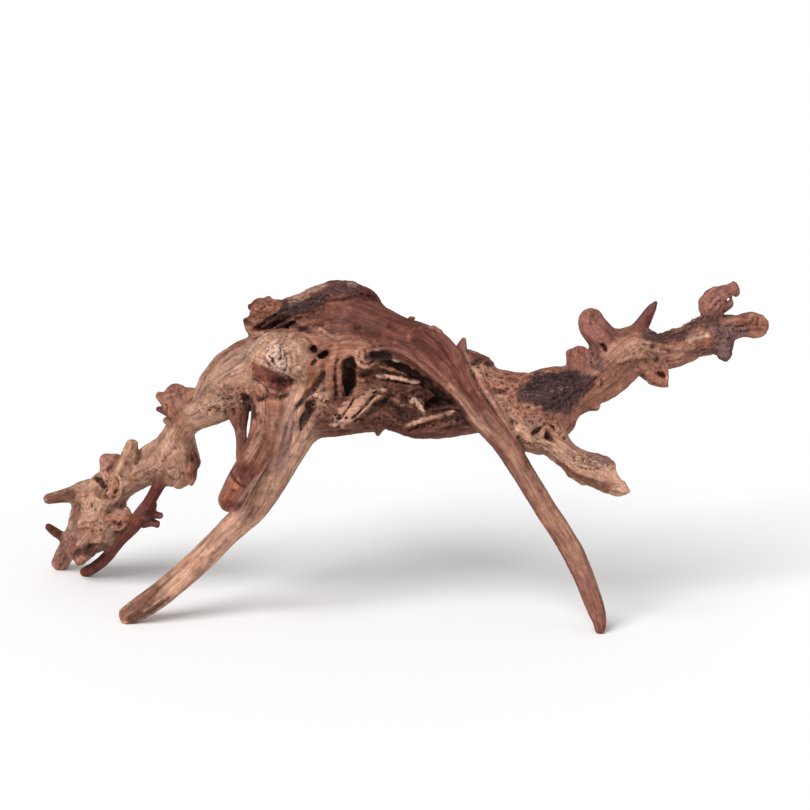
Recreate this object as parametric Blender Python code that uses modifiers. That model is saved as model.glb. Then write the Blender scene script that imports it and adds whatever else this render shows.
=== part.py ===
"""Driftwood root: one weathered tree root, 58 cm long, that stands on its own three feet.

The limbs are set out as they are seen by someone who looks down on the root by LEAN degrees
from EYE_DISTANCE: each point is across (to the right), up, and toward (nearer the eye), and has
the limb's radius there, all in millimetres. seen() stands those points up in the world.
Every limb is a curve with a lobed cross-section. The limbs are fused into one skin, the hollows
are cut, and the feet are cut level, because the root rests on them.
"""

import math

import bmesh
import bpy
from mathutils import Matrix, Vector

# Driving dimensions, in millimetres and degrees
EYE_DISTANCE = 2000.0
LEAN = 15.0
FLOOR_BELOW_AXIS = 183.2  # how far the floor lies under the point the eye looks at
MIDDLE = (-5.6, 43.6)  # the middle of the root's outline seen from above
SKIN_CELL = 1.9  # cell of the remeshed skin, finer than the thinnest rootlet
MOST_TRIANGLES = 11400

# Finish
WOOD_COLOUR = (0.27, 0.125, 0.085, 1.0)
WOOD_ROUGHNESS = 0.78

# Cross-sections: amplitude and turn of each wave round the limb, by the number of waves
SECTIONS = {
    "smooth": {2: (0.03, 0.0), 3: (0.02, 1.0)},
    "fluted": {2: (0.04, 0.4), 3: (0.05, 1.9), 5: (0.035, 0.3), 8: (0.02, 2.0)},
    "gnarled": {2: (0.06, 1.1), 3: (0.07, 0.2), 4: (0.05, 2.6), 7: (0.04, 0.9)},
}
SECTION_POINTS = 40

# Limbs: section, twist in degrees, tip length over tip radius, points
LIMBS = {
    "trunk_and_right_branch": ("fluted", 30, 0.8, [
        (-108, 28, -2, 28), (-75, 34, -6, 40), (-45, 38, -8, 43), (-15, 28, -10, 37),
        (15, 18, -8, 31), (40, 8, -5, 27), (62, 6, -2, 26), (84, 0, -1, 24.3), (103, -5, -1, 30.5),
        (121, 6, -2, 25), (140, 12, -2, 16.8), (156, 23.7, -3, 18.8), (170, 36.5, -5, 21.5),
        (184, 44, -8, 18), (200, 41.5, -12, 14.8), (215, 45, -16, 14.2), (230, 51, -20, 14.2),
        (245, 56, -22, 13.5), (258, 61, -24, 11), (270, 63, -26, 8.9), (281, 63, -28, 9.7),
        (286, 61.5, -29, 6.8)]),
    "crown": ("gnarled", 25, 0.8, [
        (0, 47, 0, 17), (-20, 57, -4, 18.5), (-41, 69.5, -8, 28), (-59, 69.5, -10, 29),
        (-78, 66.5, -10, 23.8), (-95, 66, -8, 19.6), (-112, 67.5, -6, 16.8)]),
    "crown_spike": ("smooth", 0, 1.2, [
        (-114, 62, -2, 11), (-121.5, 63.5, -1, 7.2), (-126.8, 67, 0, 2.6)]),
    "arch_and_right_leg": ("smooth", 20, 0.9, [
        (-52, 71, 4, 20), (-28, 64.5, 11, 18), (-6, 54, 18, 17.8), (16, 46, 23, 18), (31, 33, 26, 17),
        (45, 12, 27, 13.6), (58.5, -6, 27, 11.1), (71.5, -20.5, 25, 10), (82.5, -33.3, 21, 9.1),
        (92.5, -50, 14, 8.6), (104, -69, 8, 8.4), (114, -85, 3, 8.2), (124.8, -101, -2, 8),
        (135.7, -120, -7, 7.8), (144.8, -140, -12, 7.6), (151.8, -159, -16, 7.2),
        (155.8, -173, -19, 5.7), (156, -179.5, -20, 4.4)]),
    "splinter": ("smooth", 0, 1.5, [(43, 36, 17, 6), (45.2, 45, 16, 4.6), (46.6, 51, 15, 2.4)]),
    "arch_rib": ("smooth", 0, 1.0, [
        (50, 37, 17, 5.5), (58, 24, 21, 4.8), (68, 7, 23, 4.6), (78, -11, 23, 4.6),
        (89, -28, 18, 4)]),
    "arch_shoulder": ("gnarled", 0, 0.7, [(46, 30, 8, 14), (58, 29, 8, 12), (66.5, 31.6, 6, 6.4)]),
    "lower_strand": ("fluted", 40, 1.0, [
        (-74, -5, 10, 20.5), (-50, -7.5, 12, 16), (-28, -8, 12, 13), (-8, -7, 12, 14),
        (10, -12, 12, 13.2), (28, -12.5, 12, 13.5), (45, -11, 10, 11.3), (62, -9, 9, 10.5)]),
    "underside_thorn": ("smooth", 0, 1.2, [(-20, -16, 12, 5), (-21.5, -22.6, 12, 2)]),
    "left_leg": ("smooth", 25, 0.9, [
        (-84, 8, 6, 30), (-94, -19, 5, 22.8), (-102.5, -42, -1, 17), (-111, -62.5, -9, 13.2),
        (-122.5, -82.5, -16, 11), (-139.4, -99.6, -24, 10.2), (-159.4, -120, -31, 10),
        (-181.4, -140, -35, 9.7), (-200, -154.8, -39, 9.6), (-213, -163.5, -42, 9),
        (-222, -168.5, -44, 7.6)]),
    "cut_stub": ("smooth", 0, 0.5, [
        (-110, -26, 12, 14), (-121, -44, 17, 11.6), (-131, -60, 20, 11), (-140, -76.5, 22, 9.8)]),
    "left_branch": ("fluted", 50, 1.0, [
        (-95, 30, 0, 32), (-126, 23, -8, 28.8), (-142, 13, -15, 24.8), (-156, 1.5, -24, 17.8),
        (-170, -7.5, -36, 13.8), (-180.5, -21, -50, 12), (-187, -41, -64, 18), (-200, -47, -78, 16),
        (-215, -53.5, -92, 14), (-232, -65, -106, 16), (-245, -81, -116, 19.6),
        (-251, -94, -124, 17)]),
    "branch_knob": ("gnarled", 0, 0.8, [
        (-174, -8, -34, 10), (-181.5, 2, -32, 11.8), (-183.5, 9.5, -30, 8.4)]),
    "branch_knob_bud": ("smooth", 0, 0.9, [(-189, 3, -32, 6.4), (-196.5, 7.5, -32, 3.4)]),
    "branch_spike": ("smooth", 0, 1.2, [(-184, -5, -36, 7), (-197, -3.3, -38, 2.2)]),
    "branch_burr": ("smooth", 0, 1.0, [(-181, -13, -42, 8), (-191, -12.4, -42, 3)]),
    "branch_bulge": ("gnarled", 0, 0.9, [
        (-184, -36, -58, 14), (-179, -46, -58, 14), (-183, -55, -60, 12.4)]),
    "bulge_thorn": ("smooth", 0, 1.2, [
        (-174, -50, -52, 8), (-171.5, -58, -50, 4.6), (-171, -63, -50, 2)]),
    "grey_twig": ("smooth", 0, 1.0, [
        (-134, 3, 2, 10), (-133, -10, 4, 5.8), (-131, -20, 6, 4.1), (-130.6, -30, 8, 3.7),
        (-129, -42, 10, 6)]),
    "cluster_body": ("gnarled", 0, 0.9, [
        (-233, -67, -100, 12), (-238.5, -79, -108, 17), (-242, -93, -116, 18.6),
        (-248, -105, -124, 13.5)]),
    "cluster_foot": ("fluted", 15, 1.0, [
        (-246, -88, -118, 19), (-255, -98, -132, 14), (-264.5, -107, -146, 9.6),
        (-271, -117, -160, 7.4), (-275.5, -125.5, -174, 7)]),
    "cluster_upper_twig": ("smooth", 0, 1.0, [
        (-254, -71, -112, 12), (-265, -71.5, -114, 7.4), (-275, -73, -115, 5.4),
        (-285, -75, -116, 4.4)]),
    "cluster_lower_twig": ("smooth", 0, 1.0, [
        (-261, -102, -126, 8), (-272, -104, -128, 5.2), (-281, -101.5, -128, 3.8),
        (-287, -98, -128, 2.4)]),
    "cluster_underside": ("gnarled", 0, 0.9, [
        (-250, -104, -124, 13), (-257, -114, -132, 10), (-259, -121, -138, 6)]),
    "cluster_chip": ("smooth", 0, 1.0, [(-252, -103, -108, 5), (-260.5, -111.5, -106, 2.8)]),
    "cluster_bud": ("smooth", 0, 1.0, [(-232, -55, -100, 11), (-238.6, -44.5, -98, 6)]),
    "cluster_upright_twig": ("smooth", 0, 1.0, [
        (-229, -56, -98, 10), (-223.5, -43, -96, 6.2), (-218.7, -31, -95, 4.4)]),
    "dark_root": ("smooth", 60, 1.0, [
        (-186, -48, -58, 8), (-195, -61, -60, 5.4), (-203, -73, -68, 5), (-212, -87, -82, 7.4),
        (-219.5, -97, -96, 6.4), (-228.5, -108, -110, 5.4), (-238.4, -121.4, -130, 4.6),
        (-248.6, -130, -147, 4.5), (-256, -134, -158, 4.2)]),
    "upper_rootlet": ("smooth", 0, 0.6, [(-208, -83, -78, 5.4), (-201.6, -81, -76, 4)]),
    "middle_rootlet": ("smooth", 0, 1.0, [
        (-208, -88, -82, 6), (-200, -88.5, -79, 4), (-195.6, -89.5, -78, 2.6)]),
    "lower_rootlet": ("smooth", 0, 0.7, [(-210, -93, -88, 5.6), (-199.6, -94.6, -84, 3.8)]),
    "small_knob": ("gnarled", 0, 0.7, [(139, 18, 4, 12), (138.6, 31, 6, 9.6), (138.6, 41, 6, 9)]),
    "small_knob_lip": ("smooth", 0, 0.8, [(142, 34, 5, 7), (146.5, 38, 5, 5.6)]),
    "large_knob": ("smooth", 0, 0.85, [
        (167, 39, -2, 17), (158.5, 53, 1, 12.6), (150.6, 63, 3, 11.6), (149, 68.5, 3, 10.4)]),
    "upright_twig": ("smooth", 0, 1.3, [
        (182, 52, -6, 10), (188, 61.5, -8, 6.4), (193.7, 71, -10, 4.9), (198, 78, -12, 3.4),
        (200.2, 81.2, -13, 2)]),
    "hooked_bit": ("gnarled", 0, 1.0, [
        (197, 30, -4, 12), (202.3, 23.3, -1, 8.3), (206.2, 18.5, 1, 4.8), (209, 15.2, 2, 2.2)]),
    "underside_bud": ("smooth", 0, 0.8, [(147, 2, 2, 6.5), (153.4, -1.6, 4, 3.3)]),
    "end_fork": ("gnarled", 0, 0.8, [
        (241, 58, -18, 12), (245, 70, -16, 7.8), (246.2, 80, -15, 10.4), (253, 87.6, -14, 7.4),
        (262.5, 92, -12, 5.8)]),
    "end_fork_web": ("smooth", 0, 0.7, [(251, 77, -16, 5.5), (258, 81, -16, 4.6)]),
    "end_knob": ("gnarled", 0, 0.6, [(250, 56, -20, 12), (254.8, 45, -17, 7.8), (255.5, 39, -16, 5.8)]),
    "end_nub": ("smooth", 0, 1.0, [(279, 66, -28, 7), (285.5, 63.6, -28, 3.4), (288.6, 63, -28, 1.8)]),
    "end_ridge": ("smooth", 0, 0.8, [(270, 67, -27, 6), (277.5, 69.6, -26, 5)]),
    "right_stub": ("gnarled", 20, 1.0, [
        (102, -17, 6, 21.5), (116, -28.5, 13, 13.4), (130, -40.3, 18, 10.6), (141, -50, 22, 12.2),
        (151, -52.5, 25, 12), (159, -56.8, 28, 10.4), (168.6, -65.6, 31, 6.4),
        (177.5, -69, 33, 2.8)]),
    "burl": ("fluted", 0, 0.55, [(-98, 26, 4, 24), (-99, 33, 20, 26), (-100, 35, 32, 21.5)]),
    "burl_root": ("gnarled", 30, 1.0, [
        (-100, 22, 18, 19), (-104, 4, 18, 17), (-106, -14, 14, 15.5), (-111, -32, 10, 12)]),
    "back_root": ("fluted", 30, 0.5, [
        (-36, 40, -34, 16), (-48, 46, -56, 10.5), (-58, 48, -76, 8), (-64, 52, -90, 6.6)]),
    "back_stub": ("gnarled", 0, 0.5, [(92, -2, -20, 13), (104, -8, -40, 8.5), (110, -12, -51, 6.5)]),
    "back_strand": ("fluted", 30, 1.0, [
        (-120, 30, -26, 12), (-92, 40, -36, 13), (-55, 46, -45, 13), (-12, 30, -42, 12),
        (30, 14, -32, 11), (74, 4, -22, 11)]),
}

# Hollows: middle, half sizes across, up and toward, and turn in the seen plane in degrees
HOLLOWS = {
    "oval_hollow": ((-44, 24, 37), (4.0, 8.0, 12.0), 8),
    "arch_recess": ((14, 7, 33), (26.0, 9.0, 20.0), -22),
    "leg_hollow": ((-76, -7, 35), (7.5, 11.0, 13.0), 12),
    "crown_groove": ((-88, 64, 20), (27.0, 4.5, 9.0), 4),
    "stub_pit": ((106, -21, 32), (7.0, 4.5, 9.0), -15),
    "knob_slot": ((159.5, 46, 20), (3.0, 6.5, 9.0), 30),
    "back_hollow": ((-8, 34, -57), (24.0, 8.0, 14.0), -16),
    "crown_back_pit": ((-86, 66, -34), (13.0, 6.0, 10.0), 10),
}

# Relief of the weathered skin: size of the lumps and height from low to high
GNARL = {"burls": (30.0, 3.0), "knots": (11.0, 1.6)}
FILLET_PASSES = 5
FILLET_FACTOR = 0.5
FILLET_LOSS = 0.6  # what the fillet takes off the limbs, put back all over

PATH_STEP = 3.0  # spacing of the curve points along a limb
TIP_STEPS = 5
TIP_CAP = 0.3  # part of a step left for the flat cap that closes the tip
WELD = 0.02  # cap and tube points nearer than this become one
HOLLOW_SEGMENTS = 24
HOLLOW_RINGS = 14
FLOOR_BLOCK = (900.0, 500.0, 60.0)


def clear_scene():
    for obj in list(bpy.data.objects):
        bpy.data.objects.remove(obj, do_unlink=True)


def new_collection(name):
    made = bpy.data.collections.new(name)
    bpy.context.scene.collection.children.link(made)
    return made


def metres(millimetres):
    return millimetres * 0.001


def spread(toward):
    """How much larger a thing is than it looks, when it lies that much nearer the eye."""
    return (EYE_DISTANCE - toward) / EYE_DISTANCE


def seen(across, up, toward):
    """The world point, in metres, that the eye sees across and up, at that depth."""
    lean = math.radians(LEAN)
    raised = up * spread(toward)
    x = across * spread(toward) - MIDDLE[0]
    y = raised * math.sin(lean) - toward * math.cos(lean) - MIDDLE[1]
    z = raised * math.cos(lean) + toward * math.sin(lean) + FLOOR_BELOW_AXIS
    return Vector((metres(x), metres(y), metres(z)))


def along(points, place):
    """A Catmull-Rom curve's value at place, which counts the points from 0."""
    last = len(points) - 1
    index = min(int(place), last - 1)
    t = place - index
    a, b, c, d = (Vector(points[min(max(index + k, 0), last)]) for k in (-1, 0, 1, 2))
    bend = (2 * a - 5 * b + 4 * c - d) * t**2
    return 0.5 * (2 * b + (c - a) * t + bend + (3 * b - a - 3 * c + d) * t**3)


def limb_path(points, roundness):
    """World points and radii along a limb, closed by a rounded tip of quarter-ellipse outline."""
    stood = [(*seen(*p[:3]), metres(p[3] * spread(p[2]))) for p in points]
    path = []
    for index in range(len(stood) - 1):
        span = (Vector(stood[index + 1][:3]) - Vector(stood[index][:3])).length
        steps = max(1, round(span / metres(PATH_STEP)))
        path += [along(stood, index + k / steps) for k in range(steps)]
    path.append(Vector(stood[-1]))
    end = Vector(path[-1][:3])
    forward = (end - Vector(path[-2][:3])).normalized()
    radius = path[-1][3]
    for k in range(1, TIP_STEPS + 1):
        turn = 0.5 * math.pi * k / (TIP_STEPS + TIP_CAP)
        spot = end + forward * radius * roundness * math.sin(turn)
        path.append(Vector((*spot, radius * math.cos(turn))))
    return path


def section_curve(name, waves, home):
    """The closed outline round a limb: radius 1, with the section's waves on it."""
    curve = bpy.data.curves.new(name + "_section", "CURVE")
    curve.dimensions = "2D"
    spline = curve.splines.new("POLY")
    spline.points.add(SECTION_POINTS - 1)
    for index, point in enumerate(spline.points):
        turn = 2 * math.pi * index / SECTION_POINTS
        radius = 1 + sum(
            size * math.cos(count * turn + start) for count, (size, start) in waves.items())
        point.co = (radius * math.cos(turn), radius * math.sin(turn), 0, 1)
    spline.use_cyclic_u = True
    obj = bpy.data.objects.new(name + "_section", curve)
    home.objects.link(obj)
    return obj


def limb_curve(name, section, twist, roundness, points, home):
    curve = bpy.data.curves.new(name, "CURVE")
    curve.dimensions = "3D"
    curve.bevel_mode = "OBJECT"
    curve.bevel_object = section
    curve.use_fill_caps = True
    path = limb_path(points, roundness)
    spline = curve.splines.new("POLY")
    spline.points.add(len(path) - 1)
    for index, (point, (x, y, z, radius)) in enumerate(zip(spline.points, path)):
        point.co = (x, y, z, 1)
        point.radius = radius
        point.tilt = math.radians(twist) * index / len(path)
    obj = bpy.data.objects.new(name, curve)
    home.objects.link(obj)
    return obj


def fused_limbs(home):
    """All limbs in one mesh, each a closed tube, overlapping where they grow into each other."""
    sections = {name: section_curve(name, waves, home) for name, waves in SECTIONS.items()}
    limbs = [
        limb_curve(name, sections[section], twist, roundness, points, home)
        for name, (section, twist, roundness, points) in LIMBS.items()
    ]
    graph = bpy.context.evaluated_depsgraph_get()
    body = bmesh.new()
    for limb in limbs:
        tube = bpy.data.meshes.new_from_object(limb.evaluated_get(graph))
        limb_mesh = bmesh.new()
        limb_mesh.from_mesh(tube)
        bmesh.ops.remove_doubles(limb_mesh, verts=limb_mesh.verts, dist=metres(WELD))
        bmesh.ops.recalc_face_normals(limb_mesh, faces=limb_mesh.faces)
        limb_mesh.to_mesh(tube)
        limb_mesh.free()
        body.from_mesh(tube)
        bpy.data.meshes.remove(tube)
    for curve in limbs + list(sections.values()):
        bpy.data.objects.remove(curve, do_unlink=True)
    mesh = bpy.data.meshes.new("driftwood_root")
    body.to_mesh(mesh)
    body.free()
    return mesh


def cutter(name, mesh, home):
    obj = bpy.data.objects.new(name, mesh)
    obj.hide_render = True
    obj.display_type = "WIRE"
    home.objects.link(obj)
    return obj


def hollow_cutter(name, middle, halves, turn, home):
    """An ellipsoid whose axes lie across, up and toward, turned in the seen plane."""
    lean = math.radians(LEAN)
    axes = Matrix((
        (1, 0, 0), (0, math.sin(lean), -math.cos(lean)), (0, math.cos(lean), math.sin(lean))))
    shape = bmesh.new()
    bmesh.ops.create_uvsphere(
        shape, u_segments=HOLLOW_SEGMENTS, v_segments=HOLLOW_RINGS, radius=1.0)
    stretch = Matrix.Diagonal([metres(half) for half in halves])
    turned = axes @ Matrix.Rotation(math.radians(turn), 3, "Z") @ stretch
    place = Matrix.Translation(seen(*middle)) @ turned.to_4x4()
    bmesh.ops.transform(shape, matrix=place, verts=shape.verts)
    mesh = bpy.data.meshes.new(name)
    shape.to_mesh(mesh)
    shape.free()
    return cutter(name, mesh, home)


def floor_cutter(home):
    """The block under the floor, which cuts the feet level."""
    shape = bmesh.new()
    bmesh.ops.create_cube(shape, size=1.0)
    length, width, depth = (metres(side) for side in FLOOR_BLOCK)
    bmesh.ops.scale(shape, vec=(length, width, depth), verts=shape.verts)
    bmesh.ops.translate(shape, vec=(0, 0, -depth / 2), verts=shape.verts)
    mesh = bpy.data.meshes.new("floor_cut")
    shape.to_mesh(mesh)
    shape.free()
    return cutter("floor_cut", mesh, home)


def add_remesh(obj, name):
    modifier = obj.modifiers.new(name, "REMESH")
    modifier.mode = "VOXEL"
    modifier.voxel_size = metres(SKIN_CELL)
    modifier.use_smooth_shade = True


def add_relief(obj, name, size, height):
    texture = bpy.data.textures.new(name, "CLOUDS")
    texture.noise_scale = metres(size)
    texture.noise_depth = 1
    modifier = obj.modifiers.new(name, "DISPLACE")
    modifier.texture = texture
    modifier.texture_coords = "LOCAL"
    modifier.strength = metres(height)
    modifier.mid_level = 0.5


def triangle_count(obj):
    bpy.context.view_layer.update()
    evaluated = obj.evaluated_get(bpy.context.evaluated_depsgraph_get())
    mesh = evaluated.to_mesh()
    mesh.calc_loop_triangles()
    count = len(mesh.loop_triangles)
    evaluated.to_mesh_clear()
    return count


def wood_material():
    material = bpy.data.materials.new("weathered_wood")
    material.use_nodes = True
    shader = material.node_tree.nodes["Principled BSDF"]
    shader.inputs["Base Color"].default_value = WOOD_COLOUR
    shader.inputs["Roughness"].default_value = WOOD_ROUGHNESS
    shader.inputs["Metallic"].default_value = 0.0
    return material


def driftwood_root(home, cutters):
    mesh = fused_limbs(home)
    root = bpy.data.objects.new("driftwood_root", mesh)
    home.objects.link(root)
    mesh.materials.append(wood_material())

    add_remesh(root, "Fuse limbs")
    hollows = [hollow_cutter(name, *shape, cutters) for name, shape in HOLLOWS.items()]
    for hollow in hollows:
        cut = root.modifiers.new("Cut " + hollow.name, "BOOLEAN")
        cut.operation = "DIFFERENCE"
        cut.object = hollow
        cut.solver = "EXACT"
    add_remesh(root, "Even skin")
    fillet = root.modifiers.new("Fillet", "SMOOTH")
    fillet.factor = FILLET_FACTOR
    fillet.iterations = FILLET_PASSES
    regain = root.modifiers.new("Regain girth", "DISPLACE")
    regain.strength = metres(FILLET_LOSS)
    regain.mid_level = 0.0
    for name, (size, height) in GNARL.items():
        add_relief(root, name, size, height)

    coarse = root.modifiers.new("Fewer faces", "DECIMATE")
    coarse.ratio = MOST_TRIANGLES / triangle_count(root)
    level = root.modifiers.new("Level feet", "BOOLEAN")
    level.operation = "DIFFERENCE"
    level.object = floor_cutter(cutters)
    level.solver = "EXACT"
    return root


clear_scene()
wood = new_collection("driftwood_root")
tools = new_collection("cutters")
tools.hide_render = True
driftwood_root(wood, tools)
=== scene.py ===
"""Driftwood root, finished: the weathered wood of one 58 cm root that stands on its own feet.

The root is measured as it is seen by an eye EYE_DISTANCE away that looks down by LEAN:
across (to the right), up, and toward (nearer the eye), all in millimetres. World places are in
millimetres too, and turn into metres only when a mesh, lamp or camera is made.
The wood is worked out as a field on a grid of cells, the distance to its surface. Limbs grow
together, broad hollows are cut into them, and small forms that follow the surface the eye sees
are raised or cut. The surface of that field is then weathered: strands, lumps and bark are
raised along its normals. Colours are laid on its points by limb, by patch and by stroke; some
strokes are painted shade in recesses and a painted highlight along the rib and the right leg,
hollows are darkened with painted shade and ridges are painted paler. The material adds the grain.
"""

import math

import bpy
import numpy as np
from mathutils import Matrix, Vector


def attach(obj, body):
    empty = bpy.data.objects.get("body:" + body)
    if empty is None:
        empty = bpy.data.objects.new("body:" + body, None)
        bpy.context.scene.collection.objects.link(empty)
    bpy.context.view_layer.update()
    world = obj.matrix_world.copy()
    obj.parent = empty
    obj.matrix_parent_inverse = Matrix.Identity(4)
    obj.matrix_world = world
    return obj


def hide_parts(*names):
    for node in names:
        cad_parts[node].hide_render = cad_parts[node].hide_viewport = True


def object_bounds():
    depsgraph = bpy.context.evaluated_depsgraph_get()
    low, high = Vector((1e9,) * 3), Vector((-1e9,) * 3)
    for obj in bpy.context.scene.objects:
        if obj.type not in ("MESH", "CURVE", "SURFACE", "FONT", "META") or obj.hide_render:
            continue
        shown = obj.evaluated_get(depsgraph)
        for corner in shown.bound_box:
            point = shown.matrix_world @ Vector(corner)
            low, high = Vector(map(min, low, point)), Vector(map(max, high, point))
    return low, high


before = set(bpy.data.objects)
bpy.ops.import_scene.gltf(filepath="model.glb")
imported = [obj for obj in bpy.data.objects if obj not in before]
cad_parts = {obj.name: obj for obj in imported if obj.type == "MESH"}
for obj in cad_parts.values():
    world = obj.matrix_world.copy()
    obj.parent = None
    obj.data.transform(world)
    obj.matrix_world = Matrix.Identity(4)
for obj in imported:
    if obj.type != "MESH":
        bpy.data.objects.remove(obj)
cad_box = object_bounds()

# Driving dimensions, in millimetres
EYE_DISTANCE = 2000.0
LEAN = math.radians(15.0)
FLOOR_BELOW_AXIS = 183.2  # how far the floor lies under the point the eye looks at
MIDDLE = (-5.6, 43.6)  # the middle of the root's outline seen from above
PICTURE_WIDTH = 648.0  # how wide the picture is at the point the eye looks at
EDGE_CLEARANCE = 0.05  # how far the wood stays inside the box it was built to
METRE = 1000.0
MILLIMETRE = 0.001  # in metres
TOWARD = np.array([0.0, -math.cos(LEAN), math.sin(LEAN)])  # the way to the eye
BOX_LOW, BOX_HIGH = (np.array(corner) * METRE for corner in cad_box)

# How finely the wood is worked out, in millimetres
CELL = 0.95
STEP = 3.0  # spacing of the samples along a limb
FORM_STEP = 2.0  # the same along a form
STROKE_STEP = 2.5  # and along a stroke
VIEW_SQUARE = 2.0  # squares of the map of what the eye sees
VIEW_RINGS = 12  # rings of squares that are filled round the wood
RUN = 5  # samples of a path that are measured together
GIRTH_SPARE = 1.2  # room for the waves of a cross-section, in radii
LIMB_BAND = 8.0  # how far round a limb the field is worked out
FORM_BAND = 3.0  # the same round a form
GRID_MARGIN = 4  # cells of the grid beyond the root's box
FAR = 60.0  # the field's value far outside the wood
TIE_PASSES = 4
TIE_FILL = -0.05  # the field at a filled corner, just inside the wood
RELAX_PASSES = 2
RELAX_SHARE = 0.5  # how far a point moves towards the mean of its neighbours
MOST_TRIANGLES = 195000

# Small forms
FORM_RAGGED = 0.4  # how much the girth of a form wavers
FORM_RAGGED_SIZE = 5.0
PIT_RISE = 0.6  # how far a pit's path may stand out of the wood, in radii
PIT_OPENING = 3.0  # how far a pit is opened towards the eye beyond its depth

# Weathering: height in millimetres of the strands and of the lumps, by the limb's section
RELIEF = {"smooth": (0.35, 0.25), "fluted": (0.7, 0.7), "gnarled": (0.6, 1.2)}
# How far a texture rises, and how much it crumbles
TEXTURE_RELIEF = {"bark": (0.7, 1.2), "cracked": (0.2, 0.7), "gnarl": (-0.3, 2.6)}
STRAND_SIZE = (6.0, 6.0, 55.0)  # beside, above and along the limb
LUMP_SIZE = 11.0
CRUMBLE_SIZE = 5.0
NOISE_GAIN = 1.6  # brings the noise to about -1 to 1
LAYER_SHIFT = 17.3  # keeps the layers of a noise apart
SHARE_REACH = 1.6  # how fast a limb's share in a place fades outside the limb
SHARE_MARGIN = 7.0  # where the share ends
GRAIN_CHANNELS = 3  # limbs that share places have their grain in different channels

# Strokes: a wandering and a soft edge, each so many millimetres and so much of the half width
STROKE_RAGGED = (0.5, 0.38)
STROKE_SOFT = (0.7, 0.12)
STROKE_WIDTHS = (1.0, 8.0)  # the least and greatest half width that counts for its edge
STROKE_RAGGED_SIZE = 4.0
STROKE_REACH = 3.0  # how far outside the stroke places are looked at
SEEN_DEPTH = (-10.0, -6.0)  # toward, from the foremost wood: hidden, and in full view
SEEN_TURN = (-0.15, 0.15)  # the same for the cosine of a surface's turn to the eye

# Painted shade in hollows: passes of evening that show them, depths where they start and end to
# darken, strength
FINE_HOLLOWS = (4, 0.07, 0.55, 0.60)
WIDE_HOLLOWS = (24, 0.4, 2.6, 0.75)
EVENING_SHARE = 0.6
# the most that the painted shade covers the colour
DARKEST = 0.92
RIDGE_PALING = (0.04, 0.35)  # heights over which a ridge is painted paler
RIDGE_PALING_GAIN = 0.35
PATCH_EDGE = 0.25  # the noise levels over which a patch fades in
PAINT_LEVEL = 0.69  # how bright the paint is, so that it has its colour under the lamps
FEELS = ("bark", "cracked")  # textures that the material shows, beyond the relief; a last channel holds the painted shade of hollows

# Grain along the limbs: so many for each millimetre across and along, detail, roughness and
# distortion. Splits are the edges of long cells.
STREAKS = (0.14, 0.013, 3.0, 0.6, 0.5)
LINES = (0.40, 0.03, 3.0, 0.65, 0.4)
FIBRES = (0.9, 0.07, 2.0, 0.6, 0.0)
SPLITS = (0.42, 0.055)
# Grain that runs no way: so many for each millimetre, detail, roughness and distortion
MOTTLE = (0.09, 3.0, 0.6, 0.5)
SPECKLE = (0.9, 3.0, 0.65, 0.0)
CRUMBS = (0.38, 4.0, 0.7, 0.0)
BUMP_STRENGTH = 0.7
SHEEN = 0.15  # how little the dry wood mirrors

# The studio, in metres; lamps have an aim, a width in degrees and a strength
FLOOR_HALF_WIDTH = 12.0
FLOOR_FRONT = -8.0
FLOOR_BACK = 16.0
PAPER_SHADE = 0.9
PAPER_ROUGHNESS = 0.9
AIR_STRENGTH = 0.45
SENSOR_WIDTH = 36.0  # millimetres
LAMPS = {
    "key_light": ((0.6, 0.8, -1.0), 35, 2.75),
    "fill_light": ((-0.8, 1.0, -0.55), 70, 0.55),
}

# Cross-sections: amplitude and turn of each wave round the limb, by the number of waves
SECTIONS = {
    "plain": {2: (0.0, 0.0)},
    "smooth": {2: (0.03, 0.0), 3: (0.02, 1.0)},
    "fluted": {2: (0.04, 0.4), 3: (0.05, 1.9), 5: (0.035, 0.3), 8: (0.02, 2.0)},
    "gnarled": {2: (0.06, 1.1), 3: (0.07, 0.2), 4: (0.05, 2.6), 7: (0.04, 0.9)},
}

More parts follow.
